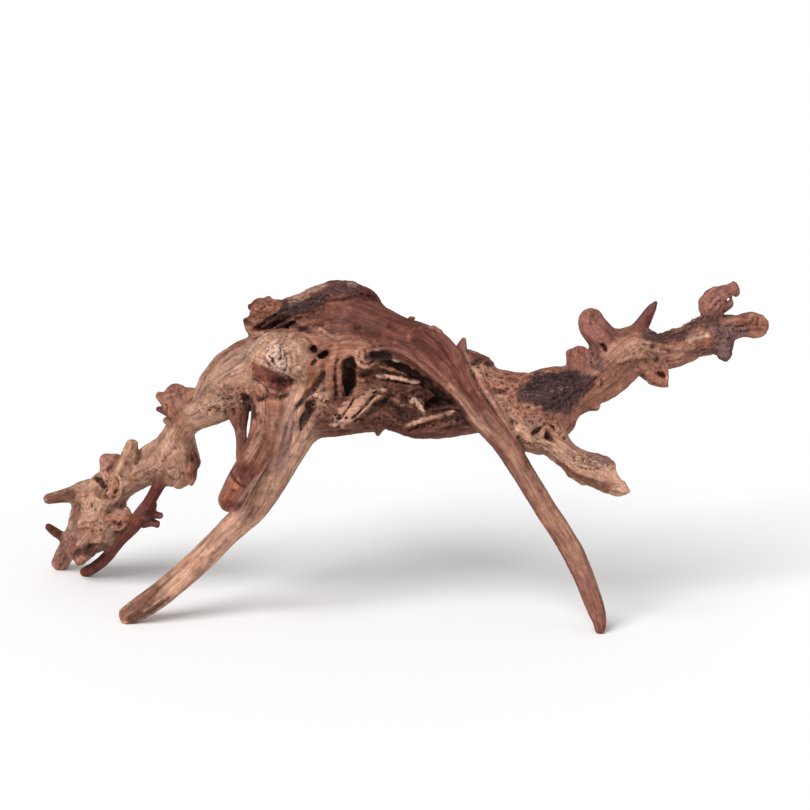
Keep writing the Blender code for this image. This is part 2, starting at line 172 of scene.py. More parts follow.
# Limbs: section, twist in degrees, tip length over tip radius, fillet where it joins,
# points (across, up, toward, radius)
LIMBS = {
    "trunk_and_right_branch": ("fluted", 30, 0.8, 0, [(-108, 28, -2, 28), (-75, 34, -6, 40),
        (-45, 38, -8, 43), (-15, 28, -10, 37), (15, 18, -8, 31), (40, 8, -5, 27), (62, 6, -2, 26),
        (86, 1.4, -1, 26), (103, -4, -1, 31), (121, 6, -2, 25), (140, 12, -2, 16.8), (156, 23.2, -3, 19.8),
        (170, 36.5, -5, 21.5), (184, 44, -8, 18), (200, 41.5, -12, 14.8), (215, 44.5, -16, 14.8),
        (230, 51, -20, 14.2), (245, 55.4, -22, 14.2), (258, 61, -24, 11), (270, 63, -26, 8.9),
        (281, 63, -28, 9.7), (284.5, 61.5, -29, 6.4)]),
    "crown": ("gnarled", 25, 0.8, 6, [(0, 47, 0, 17), (-20, 56, -4, 17.5), (-46, 70, -8, 27.5),
        (-60, 69, -10, 28), (-78, 65.5, -10, 23), (-95, 65.5, -8, 19.3), (-111, 67, -6, 15.4)]),
    "crown_edge": ("smooth", 0, 0.4, 2, [(-62, 83.5, -8, 12), (-45, 88.5, -5, 10.4)]),
    "crown_spike": ("smooth", 0, 1.2, 3, [(-114, 62, -2, 11), (-121.5, 63.5, -1, 7.2),
        (-126.8, 67, 0, 2.6)]),
    "arch_and_right_leg": ("smooth", 20, 0.9, 3, [(-52, 71, 4, 20), (-28, 64.5, 11, 18), (-6, 54, 18, 17.8),
        (16, 46, 23, 18), (31, 33, 26, 17), (45, 12, 27, 13.6), (58.5, -6, 27, 11.1),
        (71.5, -20.5, 25, 10.6), (82, -33.6, 21, 10), (92, -50, 14, 9.2), (103.8, -69, 8, 9),
        (113.6, -85, 3, 9), (124.4, -101, -2, 9), (135.4, -120, -7, 9), (144.4, -140, -12, 8.3),
        (151.4, -159, -16, 7.7), (155.8, -173, -19, 5.7), (156, -179.5, -20, 4.4)]),
    "splinter": ("smooth", 0, 1.5, 2, [(43, 36, 17, 6), (45.2, 45, 16, 4.6), (46.6, 51, 15, 2.4)]),
    "arch_rib": ("smooth", 0, 1, 2.5, [(50, 37, 17, 5.5), (58, 24, 21, 4.8), (68, 7, 23, 4.6),
        (78, -11, 23, 4.6), (89, -28, 18, 4)]),
    "arch_shoulder": ("gnarled", 0, 0.7, 4, [(46, 30, 8, 14), (58, 29, 8, 12), (65.5, 31.4, 6, 6)]),
    "lower_strand": ("fluted", 40, 1, 4, [(-74, -5, 10, 20.5), (-50, -7.5, 12, 16), (-28, -8, 12, 13),
        (-17, -6.4, 12, 11.6), (-8, -7.4, 12, 13.6), (10, -12.6, 12, 14), (28, -12.6, 12, 14.4),
        (45, -11.6, 10, 13), (62, -9.6, 9, 12)]),
    "underside_thorn": ("smooth", 0, 1.2, 3, [(-20, -16, 12, 5), (-21.5, -22.6, 12, 2)]),
    "left_leg": ("smooth", 25, 0.9, 7, [(-84, 8, 6, 30), (-93, -19, 5, 22.8), (-102, -42.6, -1, 17.6),
        (-110.4, -63, -9, 14.2), (-122, -83, -16, 11.6), (-139.4, -99.6, -24, 10.2),
        (-159.4, -120, -31, 10), (-181.4, -140, -35, 9.7), (-200, -154.8, -39, 9.6), (-213, -163.5, -42, 9),
        (-222, -168.5, -44, 7.6)]),
    "cut_stub": ("smooth", 0, 0.5, 2, [(-110, -26, 12, 14), (-121, -44, 17, 11.6), (-131, -60, 20, 11),
        (-140, -77.4, 22, 10.2)]),
    "left_branch": ("fluted", 50, 1, 8, [(-95, 30, 0, 32), (-126, 23, -8, 28.2), (-142, 13, -15, 24),
        (-156, 0.5, -24, 17.2), (-170, -7.5, -36, 13.8), (-180.5, -21, -50, 12), (-187, -41, -64, 18),
        (-200, -47, -78, 16), (-215, -53.5, -92, 14), (-233, -65, -106, 15.6), (-246, -81, -116, 18.6),
        (-249.5, -93.5, -124, 15.5)]),
    "branch_knob": ("gnarled", 0, 0.8, 5, [(-174, -8, -34, 10), (-181.5, 2, -32, 11.8),
        (-183.5, 9.5, -30, 8.4)]),
    "branch_knob_flank": ("smooth", 0, 0.8, 4, [(-178, 1, -32, 10), (-171.5, 6, -29, 8.6)]),
    "branch_knob_bud": ("smooth", 0, 0.9, 3, [(-189, 3, -32, 6.4), (-196.5, 7.5, -32, 3.4)]),
    "branch_spike": ("smooth", 0, 1.2, 2.5, [(-184, -5, -36, 7), (-197, -3.3, -38, 2.2)]),
    "branch_burr": ("smooth", 0, 1, 3, [(-181, -13, -42, 8), (-191, -12.4, -42, 3)]),
    "branch_bulge": ("gnarled", 0, 0.9, 6, [(-184, -36, -58, 14), (-179, -46, -58, 14),
        (-183, -55, -60, 12.4)]),
    "bulge_thorn": ("smooth", 0, 1.2, 2.5, [(-174, -50, -52, 8), (-171.5, -58, -50, 4.6),
        (-171, -63, -50, 2)]),
    "grey_twig": ("smooth", 0, 1, 3, [(-134, 3, 2, 10), (-133, -9, 4, 7.8), (-131.4, -19, 6, 5),
        (-130.8, -30, 8, 4.2), (-129, -42, 10, 6)]),
    "cluster_body": ("gnarled", 0, 0.9, 5, [(-235, -67, -100, 12), (-241, -79, -108, 16),
        (-242, -93, -116, 18.4), (-248, -105, -124, 13.5)]),
    "cluster_flank": ("gnarled", 0, 0.7, 3, [(-238, -90, -108, 14), (-225, -90.5, -98, 8.8)]),
    "cluster_saddle": ("smooth", 0, 0.8, 3, [(-236, -53, -98, 9), (-230, -48, -98, 9.8)]),
    "cluster_foot": ("fluted", 15, 1, 5, [(-246, -88, -118, 19), (-255, -98, -132, 14),
        (-264.5, -107, -146, 9.6), (-271, -117, -160, 7.4), (-275.5, -125.5, -174, 7)]),
    "cluster_upper_twig": ("smooth", 0, 1, 4, [(-254, -71, -112, 12), (-265, -71.5, -114, 7.4),
        (-275, -73, -115, 5.4), (-285, -75, -116, 4.4)]),
    "cluster_lower_twig": ("smooth", 0, 1, 3, [(-262, -111, -150, 6), (-272, -106.6, -146, 4.3),
        (-280, -101.4, -138, 3.7), (-285.2, -97.6, -131, 2.9)]),
    "cluster_underside": ("gnarled", 0, 0.9, 4, [(-250, -104, -124, 13), (-258, -115, -132, 10.4),
        (-261, -121, -138, 7)]),
    "cluster_chip": ("smooth", 0, 1, 2, [(-252, -103, -108, 5), (-260.5, -111.5, -106, 2.8)]),
    "cluster_bud": ("smooth", 0, 1, 3, [(-232, -55, -100, 11), (-238.6, -44.5, -98, 6)]),
    "cluster_upright_twig": ("fluted", 0, 0.5, 2.5, [(-228, -57, -96, 9), (-221.6, -44, -90, 7),
        (-218, -30.4, -89, 4.8)]),
    "dark_root": ("smooth", 60, 1, 3, [(-186, -48, -58, 8), (-195, -61, -60, 5.4), (-202.6, -74, -68, 5),
        (-210.6, -87.6, -82, 6.2), (-218.6, -97.6, -96, 6), (-228.5, -108, -110, 5.4),
        (-238.4, -121.4, -130, 4.6), (-248.6, -130, -147, 4.5), (-256, -134, -158, 4.2)]),
    "upper_rootlet": ("smooth", 0, 0.7, 2, [(-209, -87, -80, 5.5), (-202.6, -83, -75, 3.6),
        (-200.6, -78.6, -74, 2.3)]),
    "middle_rootlet": ("smooth", 0, 1, 2.5, [(-207, -89, -80, 5), (-200, -88, -77, 2.9),
        (-196, -88.4, -76, 2.8)]),
    "lower_rootlet": ("smooth", 0, 0.7, 2, [(-210, -94, -87, 5.2), (-202, -94, -82, 3.2),
        (-198, -95.4, -81, 3)]),
    "small_knob": ("gnarled", 0, 0.7, 5, [(140.5, 20, 4, 10), (139.8, 31, 6, 9), (139.2, 41, 6, 8.6)]),
    "small_knob_lip": ("smooth", 0, 0.8, 3, [(142, 34, 5, 7), (146.5, 38, 5, 5.6)]),
    "large_knob": ("smooth", 0, 0.85, 4, [(167, 39, -2, 17), (158.5, 53, 1, 12.6), (150.6, 63, 3, 11.6),
        (149, 68.5, 3, 10.4)]),
    "upright_twig": ("smooth", 0, 1.3, 2.5, [(182, 52, -6, 10), (188, 61.5, -8, 6.4), (193.7, 71, -10, 4.9),
        (198, 78, -12, 3.4), (200.2, 81.2, -13, 2)]),
    "hooked_bit": ("gnarled", 0, 1, 2.5, [(197, 30, -4, 12), (202.3, 23.3, -1, 8.3), (206.2, 18.5, 1, 4.8),
        (209, 15.2, 2, 2.2)]),
    "underside_bud": ("smooth", 0, 0.8, 3, [(147, 2, 2, 6.5), (153.4, -1.6, 4, 3.3)]),
    "end_fork": ("gnarled", 0, 0.8, 5, [(241, 58, -18, 12), (245, 70, -16, 7.8), (246.2, 80, -15, 10.4),
        (253, 87.6, -14, 7.4), (263, 92.3, -12, 6)]),
    "end_fork_web": ("smooth", 0, 0.7, 2, [(251, 77, -16, 5.5), (259, 82, -16, 5)]),
    "end_knob": ("gnarled", 0, 0.6, 4, [(250, 56, -20, 12), (254.8, 45, -17, 7.8), (255.5, 39, -16, 5.8)]),
    "end_nub": ("smooth", 0, 1, 3, [(279, 66, -28, 7), (285.5, 63.6, -28, 3.4), (288.6, 63, -28, 1.8)]),
    "end_ridge": ("smooth", 0, 0.8, 3, [(270, 67, -27, 6), (277.5, 69.6, -26, 5)]),
    "right_stub": ("gnarled", 20, 1, 3, [(102, -18, 6, 22), (116, -28.5, 13, 13.4), (130, -41.3, 18, 11),
        (141, -49.8, 22, 12.8), (151, -53, 25, 13), (159, -56, 28, 13.2), (166, -62, 30, 9.6),
        (172, -66.4, 32, 6), (178.5, -68.6, 33, 2.6)]),
    "burl": ("fluted", 0, 0.55, 6, [(-98, 26, 4, 24), (-99, 33, 20, 26), (-100, 35, 32, 21.5)]),
    "burl_root": ("gnarled", 30, 1, 4, [(-100, 22, 18, 19), (-104, 4, 18, 17), (-106, -14, 14, 15.5),
        (-111, -32, 10, 12)]),
    "back_root": ("fluted", 30, 0.5, 6, [(-36, 40, -34, 16), (-48, 46, -56, 10.5), (-58, 48, -76, 8),
        (-64, 52, -90, 6.6)]),
    "back_stub": ("gnarled", 0, 0.5, 5, [(92, -2, -20, 13), (104, -8, -40, 8.5), (110, -12, -51, 6.5)]),
    "back_strand": ("fluted", 30, 1, 4, [(-120, 30, -26, 12), (-92, 40, -36, 13), (-55, 46, -45, 13),
        (-12, 30, -42, 12), (30, 14, -32, 11), (74, 4, -22, 11)]),
}

# Broad hollows cut into the side the eye sees before the forms follow it: fillet,
# points (across, up, radius, lift)
HOLLOWS = {
    "under_arch": (4, [(-26, 36, 5, -5), (-14, 27, 8, -8), (0, 16, 10, -9), (14, 8, 10.5, -10),
        (28, 2, 9, -9), (40, -4, 5, -5)]),
    "under_arch_low": (3, [(-16, 4, 6, -5), (-4, -4, 8, -7), (10, -8, 7, -6), (24, -9, 5, -4)]),
    "crown_shade": (3, [(-118, 61.5, 3, -2.5), (-106, 65, 5, -4.5), (-93, 66, 6, -4.5), (-80, 65, 5, -3.5),
        (-68, 65, 4, -2)]),
    "crook": (2, [(150, -11.6, 6, -40), (142, -15.6, 7.6, -40), (138, -24, 8, -40)]),
    "stub_neck": (2, [(174.4, -47.6, 8.4, -40), (179, -50, 9, -40)]),
    "pit_hollow": (3, [(102, -23, 5, -2.5), (112, -21, 7, -3.5), (119, -25, 4, -2)]),
}

# Forms that follow the surface the eye sees: fillet, then a path or more of points (across, up,
# radius, lift). A lift above nought is a ridge that stands out so far, below nought a groove or
# pit so deep.
FORMS = {
    # Crown: a bark-covered shelf over a long dark recess, and a gnarled left end
    "crown_recess": (2.5, [(-122, 60, 1.8, -2), (-114, 62.6, 2.6, -5), (-105, 64.6, 3.2, -6),
        (-95, 64.6, 3.2, -6), (-86, 62.6, 2.6, -5), (-78, 60, 2, -4), (-71, 57.6, 1.4, -2)]),
    "recess_fold": (1, [(-115, 62, 1.2, 0.8), (-108, 66.4, 1.9, 2.4), (-100, 71, 1.8, 2.4),
        (-92, 74, 1.2, 1.2)],
        [(-105, 61.6, 1.2, 0.8), (-97, 65, 1.8, 2.6), (-88, 69, 1.9, 2.6), (-79, 73, 1.4, 1.4)],
        [(-93, 61.4, 1, 0.8), (-85, 65, 1.5, 2), (-77, 69.4, 1.6, 2.2), (-69, 74, 1.2, 1.2)]),
    "recess_gap": (0.8, [(-112, 67, 1, -2), (-104, 71.6, 1.3, -2.6), (-96, 75, 1, -1.6)],
        [(-84, 62, 1, -1.6), (-75, 65.4, 1.3, -2.4), (-66, 69.4, 1, -1.4)]),
    "crown_end_lumps": (1, [(-36, 88.6, 2.4, 1.4), (-31, 90.4, 2.4, 1.6), (-27, 88.4, 2.4, 1.6)]),
    "crown_end_gap": (0.8, [(-38, 86.4, 1, -1.4), (-31, 86.6, 1.2, -1.8), (-26, 84, 1, -1.2)]),
    "left_end_bumps": (1.2, [(-124, 77, 2.6, 0.8), (-119, 82, 3, 1.4), (-111, 84, 2.6, 1),
        (-104, 83, 2, 0.8)]),
    "crown_tongue": (1.5, [(-99, 71, 2.4, 0.8), (-90, 72.5, 3.4, 2.2), (-80, 75, 3.6, 2.4),
        (-70, 76, 2.6, 1.2)]),
    "tongue_underside": (1.5, [(-88, 68.5, 1.5, -1.4), (-78, 70.5, 1.6, -1.6), (-68, 71.5, 1.4, -0.8)]),
    "recess_strand": (1.2, [(-92, 60, 1.6, 1), (-80, 64, 2, 1.6), (-70, 67, 2, 1.4),
        (-63, 67.5, 1.2, 0.5)]),
    "bark_edge": (1, [(-64, 83, 1.2, -1), (-56, 84.2, 1.6, -1.8), (-48, 85, 1.9, -2.4),
        (-41, 86.6, 1.5, -1.8), (-34, 88.8, 1, -1)]),
    "shelf_slot": (1, [(-88, 77.5, 1.4, -1.4), (-80, 79.5, 1.6, -1.8), (-71, 81.5, 1.6, -1.6)]),
    "left_end_lump": (2, [(-118, 74, 6, 2.2), (-113, 80, 5, 1.6)]),
    "left_end_fold": (1.2, [(-121, 68, 1.2, -1.2), (-116, 69, 1.6, -1.8), (-108, 73, 1.4, -1.2)]),
    "left_end_slot": (1, [(-119, 78, 1, -1.2), (-114, 76.5, 1.2, -1.5), (-111, 79, 0.9, -1)]),
    "step_line": (0.8, [(-68, 59, 1, -1), (-61, 54.5, 1.2, -1.4), (-55, 51.6, 1.2, -1.5),
        (-48, 53.2, 1, -1)]),
    "step_lip": (0.8, [(-69, 61.5, 1.2, 0.7), (-63, 57.5, 1.2, 0.9), (-58, 54.5, 1, 0.5)]),
    "small_slot": (0.6, [(-50, 64.6, 1, -1), (-46, 67.4, 1, -1)]),
    "crown_dimple": (1.5, [(-40, 63, 3, -1.2), (-37, 62.6, 3, -1.2)]),
    "crown_dimple_right": (2.5, [(-13, 64.5, 4, -1.3), (-9, 62.5, 3.4, -1)]),
    "crown_chip": (1, [(-33, 84, 2.6, -1.2), (-29, 86, 2, -1)]),
    # Burl: wrapped strands, a cracked bleached patch and a broken face below it
    "burl_edge": (1, [(-83, 57, 1.2, -1.4), (-78, 53.5, 1.6, -2.2), (-74.5, 49, 1.8, -2.6)]),
    "burl_patch": (2, [(-104, 46, 6, 1.6), (-103, 38, 8, 2.4), (-100, 31, 6, 1.6)]),
    "patch_crack_middle": (0.5, [(-109, 40, 0.9, -1.4), (-105.6, 36, 1.1, -1.8), (-104, 31, 0.9, -1.4)]),
    "patch_crack_fine": (0.4, [(-100.4, 46, 0.7, -1), (-99, 41, 0.9, -1.3), (-100, 36, 0.7, -1)]),
    "burl_crack": (0.6, [(-107, 49, 0.9, -1.2), (-110.5, 43.5, 1.1, -1.8), (-113, 39, 1.2, -2),
        (-111, 35, 1.3, -2.4), (-108, 31.5, 1.5, -2.8), (-105.5, 28, 1.4, -2.4), (-101, 25.4, 1, -1.4)]),
    "patch_crack_right": (0.6, [(-97, 47, 0.8, -0.9), (-95.6, 42, 1, -1.5), (-94.6, 36, 1.1, -1.8),
        (-95, 30, 1.3, -2.2), (-97.5, 26, 1.3, -2)]),
    "patch_crack_top": (0.5, [(-108, 44.5, 0.7, -0.8), (-103, 49.5, 0.8, -0.9), (-98, 49, 0.7, -0.8)]),
    "broken_face": (1.2, [(-113, 25, 6, -2.4), (-106, 19.5, 8, -4.6), (-98, 16.5, 7.6, -4.6),
        (-93, 16, 5, -3)]),
    "broken_ridge": (0.8, [(-112, 17.5, 1.6, 1.2), (-104, 16, 1.8, 1.4), (-96, 12.5, 1.6, 1.2)]),
    "broken_slot": (0.6, [(-108, 19.2, 1.2, -1.6), (-101, 18.4, 1.4, -2.4), (-93, 15.2, 1.3, -2)]),
    "burl_hole": (0.6, [(-117, 22.5, 2, -3.4), (-115.6, 20, 1.8, -3.2)]),
    "sliver_gap": (0.6, [(-115.5, 18.5, 1.2, -2.6), (-112, 13.5, 1.5, -4), (-108.5, 9, 1.6, -4)]),
    "sliver": (0.4, [(-116, 16.8, 0.9, 0.9), (-112.5, 11.6, 1, 1.2), (-107.6, 6.6, 0.8, 1)]),
    "under_burl": (1.5, [(-118, 4, 2.2, -3), (-110, 7.6, 2.2, -3.6), (-101, 5.6, 2.4, -3.4),
        (-94, 8.8, 1.8, -2)]),
    "wrap": (1.2, [(-128, 35, 1.2, -0.8), (-121, 43, 1.8, -1.6), (-115, 50, 1.8, -1.6),
        (-109, 54, 1.2, -0.8)],
        [(-133, 33, 1.1, -0.8), (-126, 40.5, 1.5, -1.5), (-119, 49, 1.5, -1.5), (-113, 55, 1.1, -0.8)]),
    "wrap_3": (1, [(-121, 37.5, 1, -0.9), (-115, 43.5, 1.2, -1.3), (-110, 48.5, 1, -1)],
        [(-100, 55, 1, -0.7), (-91, 50.5, 1.2, -0.9), (-86.5, 42, 1.2, -0.9), (-86, 33, 1, -0.7)],
        [(-95, 56.5, 1, -0.7), (-85, 50.5, 1.1, -0.9), (-80.6, 42, 1.1, -0.8), (-81, 31, 1, -0.7)],
        [(-91.5, 44, 1, -0.7), (-90, 36, 1.2, -1), (-90.4, 28, 1.2, -1), (-92, 22, 1, -0.7)]),
    # Between the burl and the oval hollow
    "round_hole_left": (0.8, [(-74, 46.4, 3.2, -8), (-72, 44, 3, -8)]),
    "round_hole_right": (0.8, [(-69, 38.6, 2.6, -6.5), (-64, 40, 3, -8.5), (-60.6, 42, 1.8, -4)]),
    "hole_tail": (0.8, [(-71, 37, 1.4, -2.4), (-73.5, 33.2, 1.6, -2.6), (-74.6, 31, 1, -1.2)]),
    "centre_strand": (2, [(-56, 48, 4, 0.8), (-57.5, 38, 4.6, 2), (-60, 26, 5, 2.6), (-60, 14, 5, 2.6),
        (-63, 3, 4.6, 1.8), (-67, -6, 3.6, 1)]),
    "centre_groove": (1.5, [(-66, 33, 1.6, -1.2), (-66, 24, 2.4, -2.6), (-71, 15.5, 2.8, -3.6),
        (-78, 8, 2.6, -3.4), (-85, 0, 2.2, -2.6), (-90, -8, 1.6, -1.4)]),
    "leg_hollow": (1.5, [(-72, 5, 2.4, -3), (-74.5, 1, 4.4, -8), (-77, -5, 4.6, -9),
        (-80.5, -12, 3.6, -6.5), (-83, -19, 2.4, -3)]),
    "leg_hollow_rim": (0.8, [(-80, 2, 1.2, 0.8), (-84.5, -4, 1.4, 1.2), (-86, -11, 1.3, 1.2),
        (-85.5, -18, 1.2, 0.8)]),
    "leg_hollow_strand": (1, [(-69, -4, 1.4, 0.8), (-72.5, -10, 2.4, 2), (-77, -18, 2.4, 1.8),
        (-81, -26, 1.6, 0.8)]),
    "rim_groove": (0.8, [(-89, -8, 1.2, -1), (-89, -16, 1.4, -1.4), (-91, -26, 1.5, -1.5),
        (-93, -36, 1.2, -0.8)]),
    "oval_hollow": (1.2, [(-43.5, 35, 4.6, -9), (-44.5, 28, 6.2, -15), (-44.5, 20, 5.8, -15),
        (-44, 13, 4.4, -11), (-46, 7.6, 2.4, -4)]),
    "hollow_rim": (0.8, [(-44, 40, 1.3, 0.8), (-50, 38, 1.6, 1.3), (-53, 32, 1.6, 1.4),
        (-52.6, 24, 1.6, 1.3), (-53, 15, 1.6, 1.2), (-51.5, 7, 1.4, 0.9)]),
    "rim_outer_groove": (0.8, [(-53.5, 37, 1, -0.8), (-56, 29, 1.2, -1.2), (-56, 18, 1.2, -1.2),
        (-55, 9, 1, -0.8)]),
    "fan_left": (1.5, [(-38, 12, 3.6, 1), (-44, 2, 5, 2), (-51, -8, 5, 2), (-57, -15, 3.4, 1)]),
    "fan_middle": (1.5, [(-26, 12.5, 3.6, 1.6), (-33, 4, 4.6, 2.6), (-41, -6, 4.6, 2.4),
        (-50, -14.5, 3.4, 1.4)]),
    "fan_right": (1, [(-12, 12.6, 1.6, 1.2), (-19, 8, 2.6, 2.6), (-27, 1.6, 3, 3), (-35, -6, 2.8, 2.4),
        (-44, -13.5, 2.2, 1.4)]),
    "fan_gap": (0.8, [(-24, 8, 1, -1), (-33, -2, 1.3, -1.5), (-42, -10.5, 1.1, -1.2)]),
    "fan_gap_left": (0.8, [(-40, 6, 1, -0.8), (-47, -5, 1.3, -1.2), (-55, -14, 1, -0.8)]),
    "under_fan": (1.5, [(-13, 6, 2.6, -3.4), (-21, 0, 3.4, -5), (-29, -6.6, 3.2, -4.6),
        (-38, -13.5, 2.4, -2.6)]),
    "hem_strand": (1, [(-66, -19, 1.8, 1), (-56, -18.6, 2, 1.2), (-46, -17, 2, 1.4),
        (-37, -13.6, 1.6, 0.8)]),
    "hem_hollow": (0.8, [(-54, -21.6, 1.8, -2.2), (-49, -20.8, 2, -2.6), (-44, -20.6, 1.5, -1.6)]),
    "gnarl_pit_1": (0.8, [(-55, -6, 2, -2.6), (-53, -10.5, 2, -2.8)]),
    "gnarl_pit_2": (0.6, [(-47.6, -9.6, 1.2, -1.6), (-47, -10.2, 1.2, -1.6)]),
    "gnarl_pit_3": (0.8, [(-64, 3.4, 1.7, -1.8), (-61, 1.6, 1.5, -1.5)]),
    "gnarl_lump": (1.2, [(-69, 6.4, 3.2, 1.8), (-65.6, 7.6, 2.6, 1.4)],
        [(-60, -4, 3.4, 1.6), (-63, -9, 3.2, 1.2)]),
    # Recess under the arch, with what is left of torn strands in it
    "arch_pocket": (1, [(-14, 33.6, 2.2, -5), (-5, 31, 3.2, -9), (5, 25.6, 3.6, -10), (14, 19.6, 4, -10),
        (22, 13.6, 4, -9), (29, 8, 3, -6)]),
    "upper_pocket": (1, [(-27, 40, 2.2, -3.6), (-20, 40.6, 3.2, -5.5), (-13, 39.4, 2.8, -4.5)]),
    "right_pocket": (1, [(17, -2, 2.6, -6), (22, 1.6, 4, -9), (30, 2.2, 3.4, -7.5), (37, 0.4, 2, -4)]),
    "left_pocket": (1, [(-36, 22.6, 2.4, -4), (-30, 24.6, 3, -5), (-25, 27.6, 2.2, -3)]),
    "torn_strand": (0.5, [(-30, 21, 0.8, 0.6), (-22, 14, 1.3, 1.6), (-14, 12.6, 1.3, 1.8),
        (-4, 15, 0.9, 0.8)],
        [(-24, 33, 0.8, 0.6), (-15, 29, 1.3, 1.8), (-4, 26.6, 1.2, 1.6), (4, 22.6, 0.8, 0.8)],
        [(-6, 9.6, 0.8, 0.6), (2, 11, 1.3, 1.6), (10, 14, 1.3, 1.6), (16, 13, 0.8, 0.8)],
        [(18, -4, 0.9, 0.8), (27, -3.6, 1.5, 2), (36, -1.6, 1.4, 1.8), (44, -3, 0.9, 0.8)],
        [(-18, -4, 0.9, 0.8), (-10, -11, 1.5, 2), (-3, -15, 1.2, 1.6)]),
    "torn_gap": (0.5, [(-26, 10, 1, -2), (-16, 8.6, 1.5, -3.4), (-8, 6.6, 1, -2)],
        [(-2, 7.6, 0.9, -2), (4, 4.6, 1.2, -3), (6, -1, 0.9, -2)],
        [(14, -14.6, 0.9, -2), (24, -12, 1.3, -3), (33, -13.6, 0.9, -2)]),
    "knot_loop": (0.8, [(-38, 44, 1.6, 1.4), (-38.5, 36.5, 1.7, 1.8), (-35, 31, 1.7, 2),
        (-29, 30.6, 1.8, 2.2), (-24.6, 33, 1.6, 1.6), (-20, 33.6, 1.1, 0.8)]),
    "knot_core": (0.8, [(-33, 41.5, 1.7, 1.6), (-32, 36, 2, 2), (-28, 36.6, 1.5, 1.2)]),
    "pale_strand": (0.8, [(-21, 23.6, 1.5, 1.8), (-13, 22.6, 2.2, 2.8), (-3, 20.6, 2.3, 2.8),
        (5, 18.4, 1.8, 2), (11, 18.2, 1, 0.8)]),
    "strand_below": (1, [(-34, 16, 1.4, 0.8), (-24, 17.6, 2.2, 1.8), (-12, 16.4, 2.3, 2),
        (0, 15.6, 2.2, 1.8), (12, 14.4, 1.8, 1.2)]),
    "gap_below_pale": (0.6, [(-20, 19.8, 0.9, -1.2), (-8, 18.4, 1.1, -1.6), (4, 16.8, 0.9, -1.2)]),
    "thin_strand": (0.6, [(-11, 13.2, 0.9, 0.7), (0, 12.4, 1.2, 1.2), (12, 11.8, 1, 0.8)]),
    "pale_patch": (1, [(5, 3.4, 2, 1.6), (9, 1.8, 3.2, 2.8), (12, -2, 2.6, 2.2), (15, -6, 1.3, 0.9)]),
    "patch_top": (0.8, [(7, 7.6, 1.5, 1.2), (11, 9.4, 1.6, 1.6), (16, 6, 1.2, 0.8)]),
    "red_rib": (0.6, [(-9, 4.6, 0.9, 0.8), (-3, 0.6, 1.3, 1.5), (2, -5, 1.4, 1.7), (4, -10.6, 1, 0.9)]),
    "rib_hollow": (0.8, [(-14, 1.6, 1.5, -1.6), (-8, -2, 2.1, -2.8), (-3, -7, 2.1, -2.6)]),
    "rib_hollow_right": (0.8, [(3, -2.6, 1.2, -1.2), (8, -6.6, 1.6, -2), (13, -9.4, 1, -1)]),
    "lower_rib": (0.8, [(-1, -18.6, 1.5, 1.4), (6, -14.6, 2.3, 2.6), (15, -11.6, 2.3, 2.8),
        (26, -8.4, 1.8, 2), (38, -5.4, 1.1, 0.8)]),
    "under_rib": (1, [(2, -20, 1.4, -1.4), (12, -17.4, 2.4, -3.6), (24, -14.6, 2.7, -4),
        (36, -10.4, 2, -2.6)]),
    "hem_ridge": (0.8, [(26, -19.6, 1.3, 0.9), (33, -15.6, 1.7, 1.5), (42, -15.4, 1.6, 1.3),
        (50, -17.6, 1.2, 0.8)],
        [(14, -21.6, 1.3, 0.8), (24, -20.6, 1.7, 1.2), (31, -22.6, 1.5, 0.8)]),
    "hem_pit": (0.6, [(33.6, -18.2, 1.6, -1.8), (37, -18.4, 1.5, -1.6)]),
    "dark_lump": (1, [(-31, -13.6, 3, 1.4), (-26, -17, 2.6, 1.2)]),
    "dark_lump_low": (1, [(-20, -9.6, 2.6, 1.2), (-12, -13, 2.6, 1)]),
    # Arch: a lip along its lower edge and a scooped flank
    "lip_groove": (0.8, [(-33, 44, 1.1, -1), (-24, 46.4, 1.5, -1.8), (-14, 47, 1.5, -1.9),
        (-4, 44.6, 1.5, -1.9), (5, 40.6, 1.3, -1.5), (14, 33.6, 1.2, -1.2), (24, 25, 1.1, -1),
        (34, 16, 1, -0.8)]),
    "lip": (0.8, [(-8, 44, 1.1, 0.6), (2, 39.6, 1.4, 1.1), (12, 32.2, 1.5, 1.3), (22, 23.4, 1.5, 1.3),
        (33, 13.6, 1.5, 1.1), (44, 3.4, 1.3, 0.8), (54, -6, 1.1, 0.5)]),
    "scoop": (3, [(8, 53, 3.4, -1.4), (18, 44, 5.6, -2.6), (29, 31, 6, -2.8), (39, 17, 5.6, -2.6),
        (49, 3, 4.6, -2), (58, -8, 3.2, -1.2)]),
    "scoop_rim": (1, [(8, 62, 1, 0.6), (3.6, 56, 1.3, 1.1), (3, 50, 1.3, 1.1), (7, 44.6, 1.2, 0.8),
        (14, 39, 1, 0.4)]),
    "flank_groove": (1.2, [(27, 47, 1.6, -1.2), (33, 36, 2, -1.9), (39, 24, 2.2, -2.1), (47, 12, 2.2, -1.9),
        (57, 0, 2, -1.6), (66, -13, 2, -1.6), (76, -23.5, 2, -1.5), (85, -33, 1.4, -0.8)]),
    "flank_ridge": (1.5, [(12, 61, 2.4, 0.8), (22, 53, 3, 1.4), (31, 43, 3.2, 1.6), (37, 32, 2.6, 1)]),
    "top_groove": (1, [(16, 59, 1.2, -1), (25, 51.5, 1.4, -1.2), (33, 41.6, 1.3, -1.1), (40, 30, 1, -0.7)]),
    "top_groove_outer": (1, [(24, 59, 1.1, -1), (31, 51.4, 1.3, -1.3), (38, 40.6, 1.2, -1),
        (44, 30, 1, -0.6)]),
    "bark_crumb": (0.8, [(19, 62, 2.4, 1.4), (25, 60.4, 2.2, 1.4), (29, 58.4, 1.8, 1.2)],
        [(3, 70, 2, 1.2), (7, 69.4, 1.6, 1)]),
    "splinter_groove": (0.8, [(46, 44, 1, -1), (47.6, 36, 1.3, -1.4), (50, 26, 1.3, -1.2),
        (54, 15, 1, -0.7)]),
